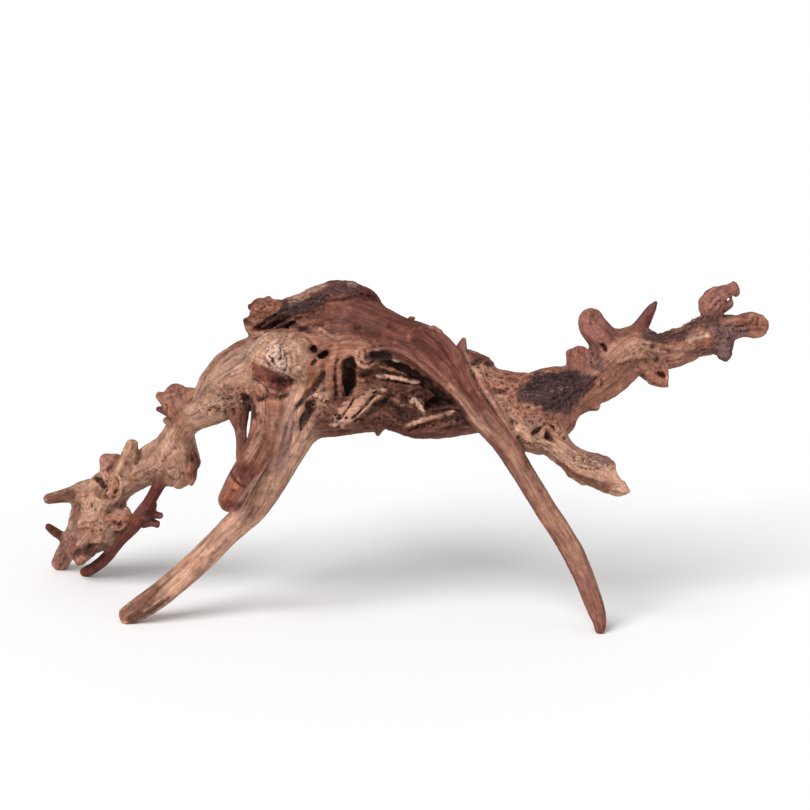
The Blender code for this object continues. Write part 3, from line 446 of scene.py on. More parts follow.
    "leg_pits": (0.8, [(76.6, -22, 1.6, -1.4), (79.4, -26, 1.6, -1.4)]),
    "leg_pit_low": (0.6, [(83.4, -30, 1.2, -1.1), (85.6, -32.6, 1.1, -1)]),
    "rib_crease": (0.8, [(55, 37, 1.2, -1.2), (61, 27, 1.5, -2), (67, 15, 1.5, -2), (73, 4, 1.4, -1.8),
        (80, -8, 1.3, -1.5), (87, -19, 1.2, -1.2), (94, -31, 1, -0.8)]),
    # Right centre: gnarled pale wood, the pit with its arcs, the edge of the bark
    "shoulder_slot": (0.8, [(54, 32.6, 1.8, -2.2), (58, 31, 1.8, -2)]),
    "shoulder_flake": (0.6, [(54, 36.6, 1, 0.9), (59, 38.6, 1.2, 1.2), (63, 36.6, 1, 0.8)],
        [(60, 33, 1, 0.9), (65, 34.8, 1.6, 1.2), (69, 32.4, 1.4, 0.8)]),
    "top_roll": (0.8, [(79, 21.4, 1.2, 0.8), (86, 23.4, 1.7, 1.4), (93, 21.4, 1.7, 1.4),
        (99, 24.2, 1.3, 0.8)]),
    "top_roll_groove": (0.6, [(81, 18.8, 0.9, -1), (88, 20.4, 1.1, -1.4), (95, 18.2, 1, -1.2)]),
    "pit_cluster_1": (0.8, [(75, 10.6, 2, -2.6), (79, 11, 1.7, -2.2)]),
    "pit_cluster": (0.6, [(67, 14.4, 1.5, -1.6), (70, 12, 1.3, -1.3)],
        [(74.6, 5.4, 1, -1.2), (75.6, 5, 1, -1.2)],
        [(81, 13.6, 1, -1.1), (83, 11.6, 1, -1.1)]),
    "bark_pit": (0.6, [(97.6, -2.6, 1.8, -3.2), (100, -1.6, 1.3, -2.4)]),
    "main_pit_left": (1, [(101, -24, 1.7, -2.6), (104.6, -21, 2.8, -5.4), (108, -18.6, 2.2, -4)]),
    "main_pit_right": (1, [(111, -22.6, 2.2, -3.6), (114.6, -26, 2.8, -5), (119, -29, 1.7, -2.4)]),
    "pit_bridge": (0.8, [(107.6, -27, 1.6, 1.2), (109.6, -22.6, 1.7, 1.8), (112, -17.6, 1.4, 1.2)]),
    "pit_arc": (0.8, [(107, -16, 1.3, 1), (112.6, -12.8, 1.7, 1.8), (118.6, -14.6, 1.7, 1.8),
        (122, -20, 1.3, 1)]),
    "arc_shadow": (0.6, [(110, -15.4, 1, -1.3), (115, -15.2, 1.2, -1.8), (119.4, -18.6, 1.1, -1.5)]),
    "stub_shade": (1, [(104, -31, 1.3, -1), (113, -33, 1.4, -1.2), (122, -34, 1.2, -0.8)]),
    # Right branch and knobs
    "knob_slot": (0.8, [(157, 48.6, 1.5, -3), (159.4, 45.6, 2, -4.6), (161.6, 42.4, 1.5, -3)]),
    "knob_neck": (0.8, [(153, 47, 1.5, -1.8), (154.6, 42, 1.7, -2), (154, 37, 1.3, -1.2)]),
    "between_knobs": (0.8, [(149.6, 40.6, 1.5, -1.8), (149, 34.6, 1.7, -1.8), (151, 30, 1.5, -1.3)]),
    "bark_end_curl": (0.8, [(153, 26, 1.7, 1.2), (151.6, 22, 2, 1.4), (154, 17.6, 2, 1.4),
        (156, 14.6, 1.3, 0.8)]),
    "curl_shadow": (0.6, [(156.6, 22.6, 1, -1.2), (157.6, 18.6, 1.2, -1.5), (156.6, 13, 1, -1.1)]),
    "knob_fold": (0.8, [(148.6, 76, 1.2, -1.2), (149.6, 72, 1.1, -1), (151, 68, 1, -0.7)]),
    "knob_dent": (0.8, [(155.6, 70.4, 1.6, -0.8), (157.4, 68.6, 1.4, -0.8)]),
    "small_knob_dents": (0.8, [(138, 43, 1.2, -1), (140, 41.8, 1.1, -0.9), (144.6, 38.6, 1.3, -1.2)]),
    "lower_flare": (1, [(169, 35, 1.4, 0.8), (178, 37, 1.9, 1.3), (188, 40, 2, 1.3),
        (199, 38.6, 1.5, 0.8)]),
    "flare_groove": (0.8, [(176, 33.8, 1.1, -1), (186, 35.8, 1.3, -1.3), (197, 34, 1.2, -1),
        (206, 36, 1, -0.6)]),
    "branch_groove": (0.8, [(190, 47.6, 1.1, -0.9), (202, 46.6, 1.3, -1.2), (213, 42.6, 1.2, -1.1),
        (224, 42, 1.1, -1), (234, 44.6, 1, -0.8)]),
    "branch_ridge": (0.8, [(192, 50, 1.3, 0.7), (203, 49, 1.4, 0.9), (212, 46.6, 1.2, 0.6)]),
    "hooked_pit": (0.6, [(202, 25.4, 2.2, -5), (205.4, 24.4, 2.4, -6), (207.6, 21.6, 1.4, -3)]),
    "hook_rim": (0.8, [(208.6, 29, 1.4, 1), (210, 24, 1.4, 1.2), (208.6, 18, 1.4, 1)]),
    "hook_fold": (0.8, [(184, 28, 1, -1), (190, 24.6, 1.4, -1.6), (197, 21.6, 1, -1)]),
    "branch_underside_step": (0.8, [(206, 33, 1.2, -1.4), (214, 34.6, 1.6, -1.8), (222, 36.6, 1.2, -1.2)]),
    "gnarl_under": (0.8, [(183, 30, 2, 1), (187, 27.6, 1.8, 0.8)]),
    # Right end
    "window": (0.6, [(231, 57, 1.4, -1), (235, 55.6, 1.8, -1.5), (240, 57, 1.3, -0.9)]),
    "window_bar": (0.5, [(233.4, 58.6, 0.8, 0.7), (235.6, 62.6, 0.9, 0.8)]),
    "fork_window": (0.4, [(254.4, 83.2, 1.4, -30), (256.4, 84, 1.3, -30)]),
    "fork_window_2": (0.3, [(258.6, 85.2, 0.9, -30), (259.4, 86.2, 0.9, -30)]),
    "fork_folds": (0.8, [(243, 74, 1, -1), (247, 79, 1.4, -1.6), (252, 83, 1.2, -1.4)]),
    "fork_fold_top": (0.8, [(245, 88, 1, -0.8), (251, 90, 1.2, -1.2), (258, 92, 1, -0.8)]),
    "knuckle": (1, [(276, 71, 3, 1), (281, 69, 3, 1.2)]),
    "knuckle_gap": (0.8, [(283, 70, 1, -1.2), (281.6, 65, 1.2, -1.6), (283.6, 60, 1, -1.2)]),
    "fork_crease": (0.8, [(254.6, 75.6, 1.6, -2.6), (257, 72.6, 1.8, -2.6)]),
    "end_groove": (0.8, [(262, 60.6, 1.3, -0.9), (270, 63.6, 1.3, -0.9), (277, 66.6, 1.1, -0.7)]),
    "end_knob_dent": (0.8, [(254.6, 49.6, 1.7, -1.5), (257, 47, 1.6, -1.2)]),
    # Left branch
    "root_pit": (0.8, [(-152, -1.6, 1.6, -2.2), (-149.6, -4.6, 2.3, -3.6), (-150.6, -8, 1.6, -2.2)],
        [(-138, -2.6, 1.6, -2.4), (-136.6, -6, 1.8, -2.8)]),
    "root_pit_arc": (0.8, [(-158, -3, 1.3, 0.8), (-155, 1.4, 1.6, 1.3), (-149, 2.4, 1.6, 1.3),
        (-145.4, -2, 1.4, 1.1), (-145.6, -8, 1.2, 0.8)]),
    "root_pit_arc_2": (0.8, [(-141, 1.6, 1.3, 1), (-136, 2.4, 1.5, 1.2), (-133.4, -3, 1.3, 1)]),
    "twig_shade": (1.5, [(-131, 8, 2.6, -2.6), (-126, 3.6, 4.2, -6), (-122.6, -2, 3.4, -5),
        (-122, -8, 2, -2.4)]),
    "twig_groove": (0.6, [(-131, -8, 0.9, -0.9), (-131, -17, 0.9, -1), (-130.6, -26, 0.8, -0.8)]),
    "shoulder_rim": (1, [(-147, 40, 1.3, 0.9), (-139, 45, 1.8, 1.5), (-131, 48.6, 1.8, 1.5)]),
    "shoulder_shade": (0.8, [(-145, 37.4, 1.1, -1), (-138, 41.4, 1.4, -1.5), (-131, 44.4, 1.2, -1.1)]),
    "branch_slot": (0.6, [(-165, 4.6, 1, -1), (-161.4, 8, 1.3, -1.5), (-158.6, 12.4, 1, -1)]),
    "branch_crumple": (0.8, [(-146, 12, 1.5, 0.8), (-142, 9.6, 1.7, 0.9), (-144, 6, 1.3, 0.6)]),
    "neck_groove": (0.8, [(-183.4, -33.6, 1.2, -1.2), (-190, -41, 1.2, -1.2), (-197, -46.4, 1.3, -1.4),
        (-205, -49.6, 1, -0.9)]),
    "neck_pit": (0.5, [(-184, -34, 1.2, -1.5), (-183.2, -34.8, 1.2, -1.5)]),
    "bulge_dent": (1, [(-178, -54, 1.7, -1.8), (-176.4, -58, 1.7, -1.6)]),
    "bulge_rim": (1, [(-170, -37, 1.5, 0.8), (-168, -45, 1.9, 1.2), (-171, -53, 1.6, 0.8)]),
    "bulge_shade": (0.8, [(-173.6, -38, 1.1, -1), (-173, -46, 1.4, -1.4), (-175, -52, 1.1, -1)]),
    "dark_root_socket": (1, [(-188, -57, 1.7, -1.8), (-185, -60, 2, -2.2)]),
    "spike_socket": (0.8, [(-191.6, 1, 1.3, -1.6), (-190.6, -4, 1.7, -2.2), (-192, -9, 1.3, -1.3)]),
    "knob_lobe": (1, [(-187, 12, 1.7, 0.8), (-181, 14.6, 1.8, 0.8), (-176, 11.6, 1.5, 0.5)]),
    # Left cluster
    "lower_seam": (0.8, [(-222, -62.6, 1.2, -1.1), (-212, -60, 1.4, -1.4), (-203, -57.6, 1.4, -1.3)]),
    "scab": (0.6, [(-212.6, -54.6, 1, -1.2), (-209.6, -52.4, 1.2, -1.4), (-207.6, -50.4, 0.8, -1)]),
    "scab_edge": (0.5, [(-213, -57.4, 0.8, 0.7), (-209.6, -55.6, 0.9, 0.8), (-206, -52.6, 0.8, 0.5)]),
    "twig_crack": (0.8, [(-212.6, -35, 1.6, -3), (-213.6, -40, 2.4, -4), (-214.4, -45, 1.8, -3),
        (-217, -50, 1, -1.4)]),
    "twig_crack_left": (0.8, [(-226, -38, 1, -1.6), (-228.6, -44, 1.3, -2.2), (-232, -50, 1, -1.6)]),
    "bud_neck": (0.8, [(-243, -53, 1.2, -2), (-238.6, -52, 1.5, -2.6), (-235, -49, 1.2, -1.8)]),
    "ring": (0.8, [(-231, -55, 1.2, 0.8), (-227, -62, 1.7, 1.5), (-227.4, -70, 1.8, 1.6),
        (-232, -76.6, 1.8, 1.5), (-239, -78.6, 1.6, 1.2), (-246, -76, 1.2, 0.7)]),
    "ring_groove": (0.8, [(-230.6, -57.6, 1.2, -1.6), (-229.6, -65, 1.4, -2), (-231.6, -72, 1.3, -1.7)]),
    "ring_inner": (0.6, [(-234.6, -56, 1, 0.7), (-233.4, -63, 1.3, 1.2), (-234.6, -70.6, 1.2, 1)]),
    "ring_hollow": (0.8, [(-239, -60.4, 1.6, -2.8), (-238, -66, 1.7, -3.2), (-240, -72, 2.4, -3.6),
        (-236.6, -75.4, 1.5, -1.8)]),
    "cluster_hole": (0.8, [(-247.6, -58.6, 1.8, -4), (-243.6, -60.6, 2.6, -6), (-240.4, -65, 2.2, -5)]),
    "bud_crack": (0.6, [(-239.6, -55, 1, -1.8), (-239.6, -59, 1, -1.8)]),
    "twig_knot": (0.8, [(-264, -72, 1.7, -1.5), (-266, -74.6, 1.5, -1.3)]),
    "body_folds": (0.8, [(-262, -78, 1, -0.9), (-261, -86, 1.3, -1.2), (-263, -94, 1, -0.8)],
        [(-256, -72, 1, -0.7), (-254, -81, 1.3, -1), (-256, -90, 1, -0.7)],
        [(-248, -80, 1, -0.7), (-247, -88, 1.2, -0.9), (-243, -96, 1, -0.7)]),
    "body_pit": (0.8, [(-233, -93.6, 1.5, -1.8), (-229.6, -96, 2, -2.6), (-227, -93, 1.5, -1.8)]),
    "body_pit_lip": (0.6, [(-234.6, -97.6, 1.2, 0.8), (-229, -99.6, 1.3, 0.9), (-223.6, -96, 1.2, 0.8)]),
    "brow": (0.8, [(-261, -98, 1.3, 0.8), (-253, -96, 1.8, 1.4), (-246, -98, 1.5, 1)]),
    "under_body": (1, [(-259, -114.6, 1.9, -2.2), (-251, -113, 2.4, -3.4), (-243, -112, 1.9, -2.2)]),
    "foot_crease": (0.8, [(-263, -104, 1, -1), (-264, -111, 1.3, -1.4), (-265, -118, 1.1, -1)]),
    "foot_dent": (0.6, [(-277, -126.4, 1.6, -1.4), (-275.8, -128.6, 1.4, -1.2)]),
    "dark_root_groove": (0.8, [(-206, -80, 1, -0.9), (-215, -92, 1.3, -1.3), (-225, -104, 1.1, -1),
        (-235, -118, 0.9, -0.8)]),
    # Left leg
    "leg_step": (1, [(-116, -17, 1.2, 0.6), (-121, -27, 1.9, 1.3), (-126, -38, 1.7, 1),
        (-128, -44, 1.2, 0.5)]),
    "leg_groove_1": (1, [(-112, -24, 1.5, -1), (-115, -34, 1.7, -1.3), (-119, -43, 1.5, -1)]),
    "leg_groove_2": (1.2, [(-95, -14, 1.7, -1.2), (-97, -26, 2.2, -1.7), (-101, -40, 1.9, -1.4),
        (-106, -54, 1.5, -0.8)]),
    "leg_groove_3": (1, [(-104, -30, 1.1, -0.8), (-109, -44, 1.4, -1.1), (-116, -58, 1.4, -1.1),
        (-126, -74, 1.1, -0.8)]),
    "leg_ridge_1": (1, [(-108, -42, 1.1, 0.6), (-115, -53, 1.4, 1), (-123, -66, 1.3, 0.9),
        (-131, -78, 1, 0.5)]),
    "cut_crack": (0.6, [(-140, -52.6, 1, -1.5), (-137, -59, 1.4, -2.2), (-131.4, -64, 1.2, -1.7),
        (-128, -65.6, 0.8, -0.8)]),
    "cut_top_face": (1, [(-129, -50, 6, -1.8), (-131, -56, 5.4, -1.8)]),
    "cut_low_face": (1, [(-138, -68, 5.6, -1.6), (-141, -76, 5, -1.2)]),
    "leg_pit": (0.6, [(-158.6, -115, 1.1, -1.2), (-156, -113.6, 1, -1)],
        [(-164, -123.6, 1, -1.1), (-161, -121.6, 1, -1)]),
    "leg_slot": (0.8, [(-163, -126.6, 1, -0.8), (-155, -120, 1.4, -1.2), (-147, -114.6, 1, -0.8)]),
    "leg_edge_groove": (0.8, [(-172, -123, 1, -0.8), (-184, -134, 1.3, -1.2), (-196, -144.6, 1.3, -1.3),
        (-203, -153, 1.1, -1.1)]),
    "tip_groove": (0.8, [(-197, -147, 1.2, -1.3), (-204, -154.6, 1.5, -1.7), (-211, -162.6, 1.3, -1.3),
        (-217, -167, 1, -0.8)],
        [(-206, -152, 1, -0.9), (-214, -159, 1.2, -1.2), (-221, -164.6, 1.1, -1)]),
    "tip_face": (1.2, [(-214, -168, 3, -1.2), (-220, -171, 3, -1.5)]),
}

# Colours as a screen shows them
PALETTE = {
    "brown": (160, 108, 88),
    "reddish": (136, 83, 68),
    "chestnut": (96, 52, 42),
    "sienna": (130, 69, 53),
    "russet": (138, 85, 71),
    "dark_red": (98, 46, 37),
    "dark": (60, 32, 25),
    "black": (28, 15, 12),
    "rose": (150, 98, 86),
    "mauve": (134, 100, 96),
    "tan": (190, 145, 121),
    "pale": (206, 162, 138),
    "bleached": (218, 181, 164),
    "orange": (160, 95, 62),
    "umber": (112, 69, 55),
    "grey": (126, 108, 103),
    "purple": (90, 62, 62),
    "ash": (66, 52, 51),
    "bark_pale": (160, 133, 123),
    # the dark brown of painted shade, laid in hollows, pits, grooves and recesses
    "painted_shade": (40, 20, 16),
}

# The finish of each limb where it differs from plain brown
FINISHES = {
    "arch_and_right_leg": "russet", "arch_rib": "rose", "crown": "chestnut", "cut_stub": "russet",
    "left_branch": "tan", "branch_knob": "brown", "branch_spike": "dark_red", "branch_burr": "brown",
    "branch_bulge": "tan", "grey_twig": "umber", "cluster_body": "tan", "cluster_foot": "tan",
    "cluster_flank": "tan", "cluster_saddle": "tan", "cluster_upper_twig": "tan",
    "cluster_lower_twig": "dark_red", "cluster_bud": "rose", "cluster_upright_twig": "tan",
    "dark_root": "dark_red", "upper_rootlet": "dark_red", "middle_rootlet": "dark_red",
    "lower_rootlet": "dark_red", "small_knob": "rose", "large_knob": "rose",
    "upright_twig": "dark_red", "end_fork": "rose", "end_fork_web": "rose", "end_knob": "purple",
    "right_stub": "tan", "burl": "tan", "left_leg": "tan", "lower_strand": "umber",
    "back_strand": "umber", "back_root": "brown", "back_stub": "umber", "hooked_bit": "brown",
    "burl_root": "brown", "splinter": "umber", "arch_shoulder": "tan",
}

# Patches all round: colour, size in millimetres, noise level where they start, strength, seed
PATCHES = [
    ("mauve", 30.0, 0.20, 0.28, 11),
    ("umber", 22.0, 0.25, 0.32, 12),
    ("pale", 17.0, 0.45, 0.20, 13),
    ("orange", 26.0, 0.35, 0.28, 14),
]

# Strokes that have both a colour and a texture: points (across, up, half width)
CROWN_SHELF = [(-105, 70.5, 2.6), (-95, 75.5, 5), (-85, 78, 5.4), (-75, 81, 5), (-66, 86, 4)]
CENTRE_PLATE = [(91, 6, 2.6), (101, 8, 7), (112, 12, 12.5), (126, 13, 13), (138, 16, 9.5), (147, 20, 6)]
PLATE_TOP = [(106, 24, 4), (107, 17, 6)]
PLATE_FOOT = [(112, -1, 4), (122, -2, 5), (131, -3, 3.6)]
LEFT_FLAKE = [(53, 33.4, 1.6), (59, 35, 1.8)]
RIGHT_FLAKE = [(62, 35.5, 1.5), (69, 32, 1.7)]
STUB_END = [(100, -30, 4), (113, -34, 5.6), (128, -42, 5.6)]
BRANCH_TOP = [(191, 56, 3.2), (203, 54.6, 4.4), (214, 55, 4.2), (224, 57, 3)]
FORK_TOP = [(226, 61, 3.2), (236, 66, 4.4), (246, 67, 4.2)]
FORK_FOOT = [(226, 41, 2.6), (237, 43.5, 2.8), (248, 44, 2.8)]
FORK_END = [(248, 60, 5), (260, 60, 6), (270, 61, 4.6)]
FORK_CROOK = [(252, 52, 4), (255, 43, 5)]

# Strokes of colour on the side the eye sees: colour, strength, points (across, up, half width).
# Some are painted shade in recesses, and two a painted highlight, as marked.
PAINT = [
    # Crown
    ("chestnut", 0.7, [(-70, 72, 8), (-56, 68, 10), (-42, 60, 9)]),
    ("ash", 0.5, [(-110, 70, 3), (-100, 73, 4), (-90, 75, 4)]),
    ("ash", 0.85, CROWN_SHELF),
    ("tan", 0.6, [(-92, 82, 1.6), (-85, 85, 2.6), (-78, 87, 1.8)]),
    ("pale", 0.7, [(-93, 85.5, 1.4), (-82, 89, 2), (-72, 92.5, 2), (-64, 95.5, 1.4)]),
    ("purple", 0.8, [(-63, 91, 4), (-52, 94, 4.6), (-44, 93, 4.6), (-38, 91, 3)]),
    ("brown", 0.8, [(-122, 70, 6), (-115, 76, 7.5), (-106, 80, 6)]),
    ("umber", 0.7, [(-126, 69, 1.4), (-119, 73, 1.8), (-111, 75, 1.6), (-104, 77, 1.2)]),
    ("umber", 0.6, [(-123, 78, 1.2), (-115, 82, 1.4), (-106, 83, 1.2)]),
    ("orange", 0.4, [(-116, 70, 2), (-108, 75, 2), (-101, 79, 1.6)]),
    ("dark_red", 0.7, [(-35, 88, 3), (-30, 90, 3.4), (-26, 87, 2.6)]),
    ("bark_pale", 0.8, [(-45, 97, 1.6), (-40, 96, 2)]),
    # painted shade in the groove along the edge of the bark
    ("painted_shade", 0.7, [(-66, 84, 0.8), (-56, 84.2, 1), (-48, 85, 1.1), (-38, 87.4, 0.8)]),
    # painted shade in the crown's two dimples
    ("dark", 0.6, [(-41.6, 63.6, 1.8), (-38, 63.4, 1.8)]),
    ("dark", 0.5, [(-13, 64.6, 2), (-10.6, 64.6, 2)]),
    ("bark_pale", 0.6, [(-68, 61.4, 0.7), (-62, 56.6, 0.8), (-55, 53.4, 0.8), (-49, 54.6, 0.7)]),
    # painted shade: the crown's long recess, darkest at its left end, and the gaps between its folds
    ("black", 0.8, [(-128.5, 67.5, 2), (-124, 65, 2.6)]),
    ("painted_shade", 0.8, [(-122, 60.5, 1.6), (-114, 62.6, 2.6), (-105, 65, 3.2), (-95, 65, 3.4), (-86, 63, 2.8),
        (-77, 60, 2)]),
    ("dark", 0.6, [(-114, 67, 1.8), (-104, 70.6, 2), (-94, 72, 2)]),
    ("umber", 0.7, [(-84, 66.5, 2), (-76, 67, 3), (-68, 66.5, 2.6)]),
    # painted shade round the two round holes
    ("dark", 0.75, [(-75.5, 46.5, 2.4), (-70, 41, 3.2), (-63, 42, 2.8)]),
    # Burl
    ("pale", 0.35, [(-124, 44, 5), (-112, 54, 5), (-97, 53, 6), (-86, 43, 6), (-85, 28, 5)]),
    ("bleached", 0.75, [(-104, 48.5, 3.4), (-104, 42, 7.4), (-102, 35, 8), (-99, 29, 4.6)]),
    ("pale", 0.7, [(-121, 37, 1.6), (-115, 34, 2.4), (-110, 30, 1.6)]),
    ("sienna", 0.9, [(-119.6, 30, 3.6), (-113, 24, 7.4), (-101, 18, 7.4), (-92, 18, 4)]),
    ("dark_red", 0.8, [(-106, 20, 4), (-98, 18, 5), (-92, 19, 3)]),
    ("brown", 0.7, [(-134, 12, 4), (-124, 9, 6), (-115, 10, 5)]),
    # painted shade in the slot across the broken face
    ("black", 0.8, [(-100, 20, 1.8), (-91, 19, 1.6)]),
    # painted shadow along the groove under the burl
    ("painted_shade", 0.85, [(-117, 4, 1.6), (-106, 6.6, 2.2), (-96, 7, 1.8)]),
    ("pale", 0.6, [(-86, 46, 2.4), (-83, 36, 3), (-82, 25, 3), (-83, 15, 2)]),
    ("orange", 0.7, [(-76, 30, 3), (-75, 20, 4), (-78, 10, 3)]),
    ("purple", 0.85, [(-65, 26, 1.6), (-70, 16, 2.4), (-78, 7, 2.4), (-86, -1, 1.8)]),
    # Centre, under the arch
    # painted shade under the arch, in its broad hollows and its recess
    ("dark", 0.85, [(-34, 26, 5), (-14, 18, 10), (8, 10, 11), (28, 0, 10), (44, -8, 6)]),
    ("dark", 0.8, [(-18, -2, 6), (-4, -8, 7), (14, -14, 6)]),
    ("painted_shade", 0.75, [(-30, 38, 3), (-12, 34, 4), (6, 26, 5), (22, 15, 5), (36, 4, 4)]),
    ("reddish", 0.5, [(-6, 10, 4), (6, 10, 3)]),
    # painted shade in the oval hollow
    ("black", 0.9, [(-43.5, 36, 3.4), (-44.5, 28, 5), (-44.5, 18, 4.6), (-44, 11, 3)]),
    ("purple", 0.9, [(-26, 40, 3.4), (-18, 41, 3.6), (-11, 39, 3)]),
    ("tan", 0.7, [(-37, 44, 2.4), (-36.5, 36, 2.8), (-31, 31.5, 2.8)]),
    ("tan", 0.8, [(-20, 12, 4.6), (-32, 3, 7), (-44, -6, 8), (-54, -13, 5)]),
    # painted shade in the pocket under the arch
    ("black", 0.85, [(-27, 40, 1.6), (-14, 35, 2.4), (-3, 29.5, 3), (9, 23, 3.6), (19, 16, 3.6),
        (29, 8, 2.8)]),
    ("umber", 0.6, [(-32, 17, 2), (-20, 17, 2.4), (-8, 16, 2.4), (6, 15, 2)]),
    ("pale", 0.95, [(-22, 23.4, 1.4), (-14, 22.6, 2), (-4, 20.6, 2.1), (5, 18.6, 1.7), (11, 18.4, 0.9)]),
    # painted shade in the hollow beside the red rib
    ("painted_shade", 0.6, [(-14, 1, 2.6), (-8, -3, 3), (-3, -8, 2.6)]),
    ("umber", 0.6, [(-19, -3, 4.6), (-10, -8, 4.6)]),
    ("dark", 0.8, [(-39, -14, 3), (-30, -15, 4.6), (-23, -17, 3.6)]),
    ("pale", 0.95, [(4.6, 3, 1.4), (8.6, 3.6, 2.8), (12, 0.6, 3), (14.4, -4, 2.2), (16, -8, 1)]),
    ("bleached", 0.8, [(-8, 35, 1.1), (-6, 35, 1.1)]),
    # painted shade in the right pocket under the arch
    ("black", 0.9, [(17, -1.4, 1.8), (23, 1.6, 3.2), (31, 1.6, 2.8)]),
    ("tan", 0.85, [(-1, -18.6, 1.3), (7, -14.6, 2), (16, -11.4, 2), (27, -8.2, 1.7), (38, -5.4, 1)]),
    # painted shade in the groove under the lower rib
    ("dark", 0.85, [(2, -20.4, 1.3), (13, -17.2, 2), (25, -14.6, 2.2), (37, -10.4, 1.7)]),
    ("dark", 0.7, [(-20, -17, 4), (-21.5, -22, 2.4)]),
    ("umber", 0.7, [(-44, -18, 4), (-22, -15, 6), (4, -21, 4), (28, -19, 5), (54, -17, 4)]),
    ("dark", 0.5, [(-34, -14, 3), (-18, -12, 4), (0, -24, 2.4), (30, -20, 3), (48, -14, 3)]),
    ("dark_red", 0.6, [(-8, -18, 2.6), (20, -22, 2), (44, -19, 2)]),
    # Arch and right leg
    ("chestnut", 0.75, [(-30, 70, 18), (-8, 62, 13), (12, 54, 11), (26, 42, 8)]),
    ("dark_red", 0.6, [(10, 58, 3), (11, 50, 5), (18, 42, 4), (27, 30, 3)]),
    ("rose", 0.4, [(2, 62, 0.9), (4, 52, 0.9), (10, 43, 0.9), (22, 31, 0.9), (34, 18, 0.9)]),
    ("rose", 0.5, [(2, 41.4, 0.9), (12, 33.4, 1), (24, 21.6, 1), (36, 10, 1), (48, -2, 0.9)]),
    ("tan", 0.6, [(36, 16, 1.8), (46, 4, 2.8), (56, -10, 3.4), (66, -24, 3)]),
    ("dark_red", 0.75, [(54, 10, 2), (60, 1, 2.8), (66, -10, 3), (73, -21, 1.8)]),
    ("umber", 0.5, [(-4, 38, 2.4), (8, 31, 2.6), (20, 19.6, 2.6), (30, 10, 2)]),
    ("tan", 0.4, [(64, -8, 5), (84, -38, 6), (106, -74, 6), (130, -112, 6), (148, -148, 5)]),
    ("russet", 0.6, [(47, 50, 1.6), (49, 42, 2.6), (53, 34, 2.6)]),
    ("dark_red", 0.7, [(24, 46, 1.8), (32, 41, 2.8), (37, 32, 3.2), (42, 21, 3), (48, 10, 2.8),
        (56, 0, 2.4), (64, -9, 2)]),
    # painted highlight: a pale line along the crest of the rib
    ("pale", 0.6, [(48, 42, 0.7), (52, 33, 0.9), (57, 25, 0.9), (62, 15, 0.9), (67, 7, 0.9), (73, -2, 0.9),
        (79, -12, 0.9), (85, -21, 0.9), (90, -29, 0.9), (96, -38, 0.8)]),
    # painted highlight along the right edge of the right leg
    ("tan", 0.5, [(98, -42, 1.4), (110, -64, 2), (122, -85, 2), (133, -103, 2), (146, -128, 2),
        (155, -152, 1.8)]),
    ("rose", 0.6, [(146, -140, 5), (153, -162, 5), (156, -176, 4)]),
    # Right centre
    ("tan", 0.6, [(58, 27, 3), (64, 25, 4.2), (71, 20, 4)]),
    ("dark_red", 0.8, [(55, 38, 3), (61, 37, 4), (68, 34, 3.4)]),
    ("brown", 0.6, [(72, 18, 6), (86, 13, 8), (95, 22, 5)]),
    # painted shade in the cluster of pits
    ("dark", 0.7, [(72, 12, 2), (78, 10.6, 2.6), (82, 13, 1.6)]),
    ("ash", 0.8, LEFT_FLAKE),
    ("ash", 0.8, RIGHT_FLAKE),
    ("pale", 0.45, [(77, 3, 5), (83, -8, 6), (91, -20, 5)]),
    ("reddish", 0.5, [(80, 24, 3), (92, 25, 4)]),
    ("purple", 0.9, PLATE_TOP),
    ("purple", 0.9, PLATE_FOOT),
    ("ash", 0.8, [(92, 6, 3), (106, 12, 12), (122, 12, 14), (140, 18, 8)]),
    ("purple", 0.9, CENTRE_PLATE),
    ("ash", 0.6, [(100, 14, 3), (112, 20, 5), (128, 22, 5), (142, 24, 3)]),
    ("tan", 0.6, STUB_END),
    ("dark_red", 0.75, [(122, -47, 2.2), (133, -55, 3.4), (146, -61, 3), (160, -68, 2.4)]),
    ("tan", 0.4, [(133, -43, 4.6), (146, -47, 5.6), (160, -52, 5.6)]),
    ("mauve", 0.45, [(150, -44, 5), (160, -46, 4)]),
    ("pale", 0.3, [(168, -64, 4), (177, -68, 3)]),
    # Right branch
    ("purple", 0.6, [(152, 47, 2), (153, 40, 2.6), (156, 33, 3)]),
    # painted shade in the slot in the large knob
    ("painted_shade", 0.8, [(157, 48.6, 1.6), (160, 45, 1.8)]),
    ("purple", 0.8, [(150, 31, 2.2), (156, 29, 2.4)]),
    ("pale", 0.55, [(178, 46, 3), (187, 49, 3.2), (196, 48, 2)]),
    ("purple", 0.85, BRANCH_TOP),
    ("ash", 0.55, FORK_TOP),
    ("purple", 0.7, FORK_FOOT),
    ("mauve", 0.7, FORK_END),
    ("mauve", 0.6, FORK_CROOK),
    ("purple", 0.6, [(243, 68, 3), (247, 75, 3)]),
    ("pale", 0.85, [(228, 52, 2.4), (234, 54.6, 3), (241, 56, 2.4)]),
    ("reddish", 0.7, [(270, 66, 4.2), (280, 66, 5.4), (286, 64, 3)]),
    ("tan", 0.5, [(168, 40, 7), (180, 44, 7), (192, 43, 6), (208, 43, 4)]),
    # painted shade in the pit of the hooked bit
    ("painted_shade", 0.85, [(202, 25.4, 1.6), (206, 24, 2)]),
    ("tan", 0.5, [(214, 40, 3), (222, 44, 3), (230, 47, 2.6)]),
    # Left branch
    ("umber", 0.6, [(-156, 30, 1.4), (-148, 38, 2), (-140, 45, 2.6), (-130, 50, 3)]),
    ("grey", 0.5, [(-133, 33, 1.2), (-126, 41, 1.6), (-118, 49, 1.2)]),
    ("pale", 0.5, [(-134, 40, 2.6), (-124, 47, 3.6), (-116, 51, 3.6)]),
    ("reddish", 0.6, [(-140, 46.4, 1.8), (-130, 50, 2.6)]),
